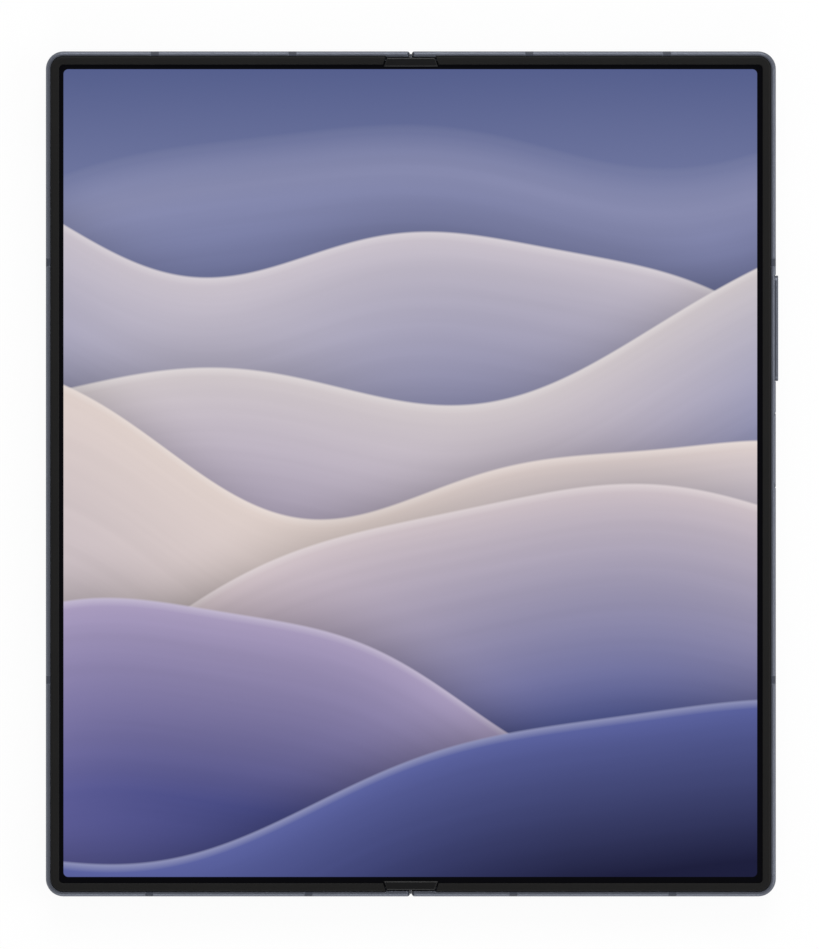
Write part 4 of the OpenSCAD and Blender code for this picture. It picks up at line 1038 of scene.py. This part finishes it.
# %% Flash
ridge_count, ridge_height, ridged_to = 4, 0.06, 2.1
swing = np.cos(np.linspace(0, 2 * math.pi * ridge_count, 43))
ridges = np.stack([np.linspace(0, ridged_to, 43), ridge_height / 2 * (1 - swing)], axis=1)
flash_profile = in_metres(np.concatenate([
    ridges, [(2.22, 0.0), (2.3, 0.08), (2.3, 0.5), (1.9, 0.5), (1.9, 1.9), (0, 1.9)]]))
turned = lathe(flash_profile, middle_of("flash_module"))
flash = piece("flash", turned, flash_plastic, "right_half")
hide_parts("flash_module")

# %% [markdown]
# ## Contacts of the charging socket
# The socket's tongue carries twelve flat contacts on either face, 0.5 mm apart. They could be a
# pattern in the socket's finish. Thin plates of their own are as easy, and their edges catch light.

# %% Contacts
contact_steps = (np.arange(12) - 5.5) * 0.5 * mm  # along the tongue, from its middle
contact_sides = np.array([-0.12, 0.12]) * mm
contact_ends = np.array([[1.6], [5.0]]) * mm  # counted from the mouth inwards
contact_feet = (-0.37 * mm, 0.33 * mm)  # undersides, from the tongue's middle height
contact_t = 0.04 * mm
y = mouth_y + contact_ends
strips = []
for foot in contact_feet:
    for step in contact_steps:
        x = contact_sides + socket_middle.x + step
        z = socket_middle.z + foot
        strips.append(plate(over(x, y, z + contact_t), over(x, y, z)))
piece("socket_contacts", joined(*strips), gold, "right_half")

# %% [markdown]
# ## Floor
# The photograph has a pure white ground. The floor glows white, but only in rays from the camera,
# through glass or in reflections, so that it doesn't light the phone. From below it is transparent.

# %% Floor
floor_half = 6.0
floor_drop = 0.2 * mm  # keeps the floor clear of the phone's back
floor_glow = 0.93  # how much of what is seen is the floor's own white
floor_mesh = bpy.data.meshes.new("floor")
corners = floor_half * np.array([(-1, -1, 0), (1, -1, 0), (1, 1, 0), (-1, 1, 0)])
floor_mesh.from_pydata(corners.tolist(), [], [(0, 1, 2, 3)])
floor = in_scene("floor", floor_mesh)
floor.location.z = -floor_drop

ground, tree, shader = new_material("white_floor")
fill(tree, shader, {"Base Color": (0.98, 0.98, 0.98, 1), "Roughness": 0.9, "Specular IOR Level": 0.1})
rays = add(tree, "ShaderNodeLightPath").outputs
seen = calc(tree, "MAXIMUM", rays["Is Camera Ray"], rays["Is Glossy Ray"])
seen = calc(tree, "MAXIMUM", seen, rays["Is Transmission Ray"])
share = calc(tree, "MULTIPLY", seen, floor_glow)
glow = add(tree, "ShaderNodeEmission", {"Color": white, "Strength": 1.0}).outputs[0]
lifted = add(tree, "ShaderNodeMixShader", {0: share, 1: shader.outputs[0], 2: glow}).outputs[0]
below = add(tree, "ShaderNodeNewGeometry").outputs["Backfacing"]
nothing = add(tree, "ShaderNodeBsdfTransparent").outputs[0]
surface = add(tree, "ShaderNodeMixShader", {0: below, 1: lifted, 2: nothing}).outputs[0]
fill(tree, tree.nodes["Material Output"], {"Surface": surface})
floor_mesh.materials.append(ground)
print("floor:", 2 * floor_half, "m wide")

# %% [markdown]
# ## Sky
# In reflections the sky is bright at the horizon and dim overhead and underfoot, as in a studio with a
# white wall all round and a dark ceiling. Everywhere else it is an even, weak light. The camera itself
# sees it as pure white.

# %% Sky
wall_to, ceiling_from = 0.25, 0.95  # steepness, 0 at the horizon and 1 straight up or down
ceiling = (0.22, 0.22, 0.23, 1)
weak_light = (0.27, 0.27, 0.28, 1)
world = bpy.data.worlds.new("studio")
bpy.context.scene.world = world
world.use_nodes = True
tree = world.node_tree
rays = add(tree, "ShaderNodeLightPath").outputs
mirrored = calc(tree, "MAXIMUM", rays["Is Glossy Ray"], rays["Is Transmission Ray"])
toward = add(tree, "ShaderNodeTexCoord").outputs["Generated"]
steepness = calc(tree, "ABSOLUTE", axes_of(tree, toward)["Z"])
reflected = mix(tree, ramp(tree, steepness, wall_to, ceiling_from), white, ceiling)
light = mix(tree, mirrored, weak_light, reflected)
light = mix(tree, rays["Is Camera Ray"], light, white)
fill(tree, tree.nodes["Background"], {"Color": light})
print("studio:", len(tree.nodes), "nodes")

# %% [markdown]
# ## Lamps
# Four lamps light the metal. They are large, because a large lamp gives rounded metal a broad, soft
# highlight. The strongest stands at the top of the picture and the weakest on the left. The colours
# are shown as they are, without a film-like curve.


# %% Lamps
def lamp(name, place, watts, size=1.2):
    """A soft square lamp that looks at the phone and isn't seen itself."""
    data = bpy.data.lights.new(name, "AREA")
    data.energy = watts
    data.size = size
    made = in_scene(name, data)
    made.location = place
    made.rotation_euler = (-made.location).to_track_quat("-Z", "Y").to_euler()
    made.visible_camera = False
    print(name, watts, "W")


lamp("lamp_top", (0.1, 1.5, 1.3), 21)
lamp("lamp_left", (-1.4, 0.3, 1.4), 3)
lamp("lamp_right", (1.5, -0.1, 1.3), 14)
lamp("lamp_bottom", (-0.1, -1.6, 1.2), 11)
bpy.context.scene.view_settings.view_transform = "Standard"
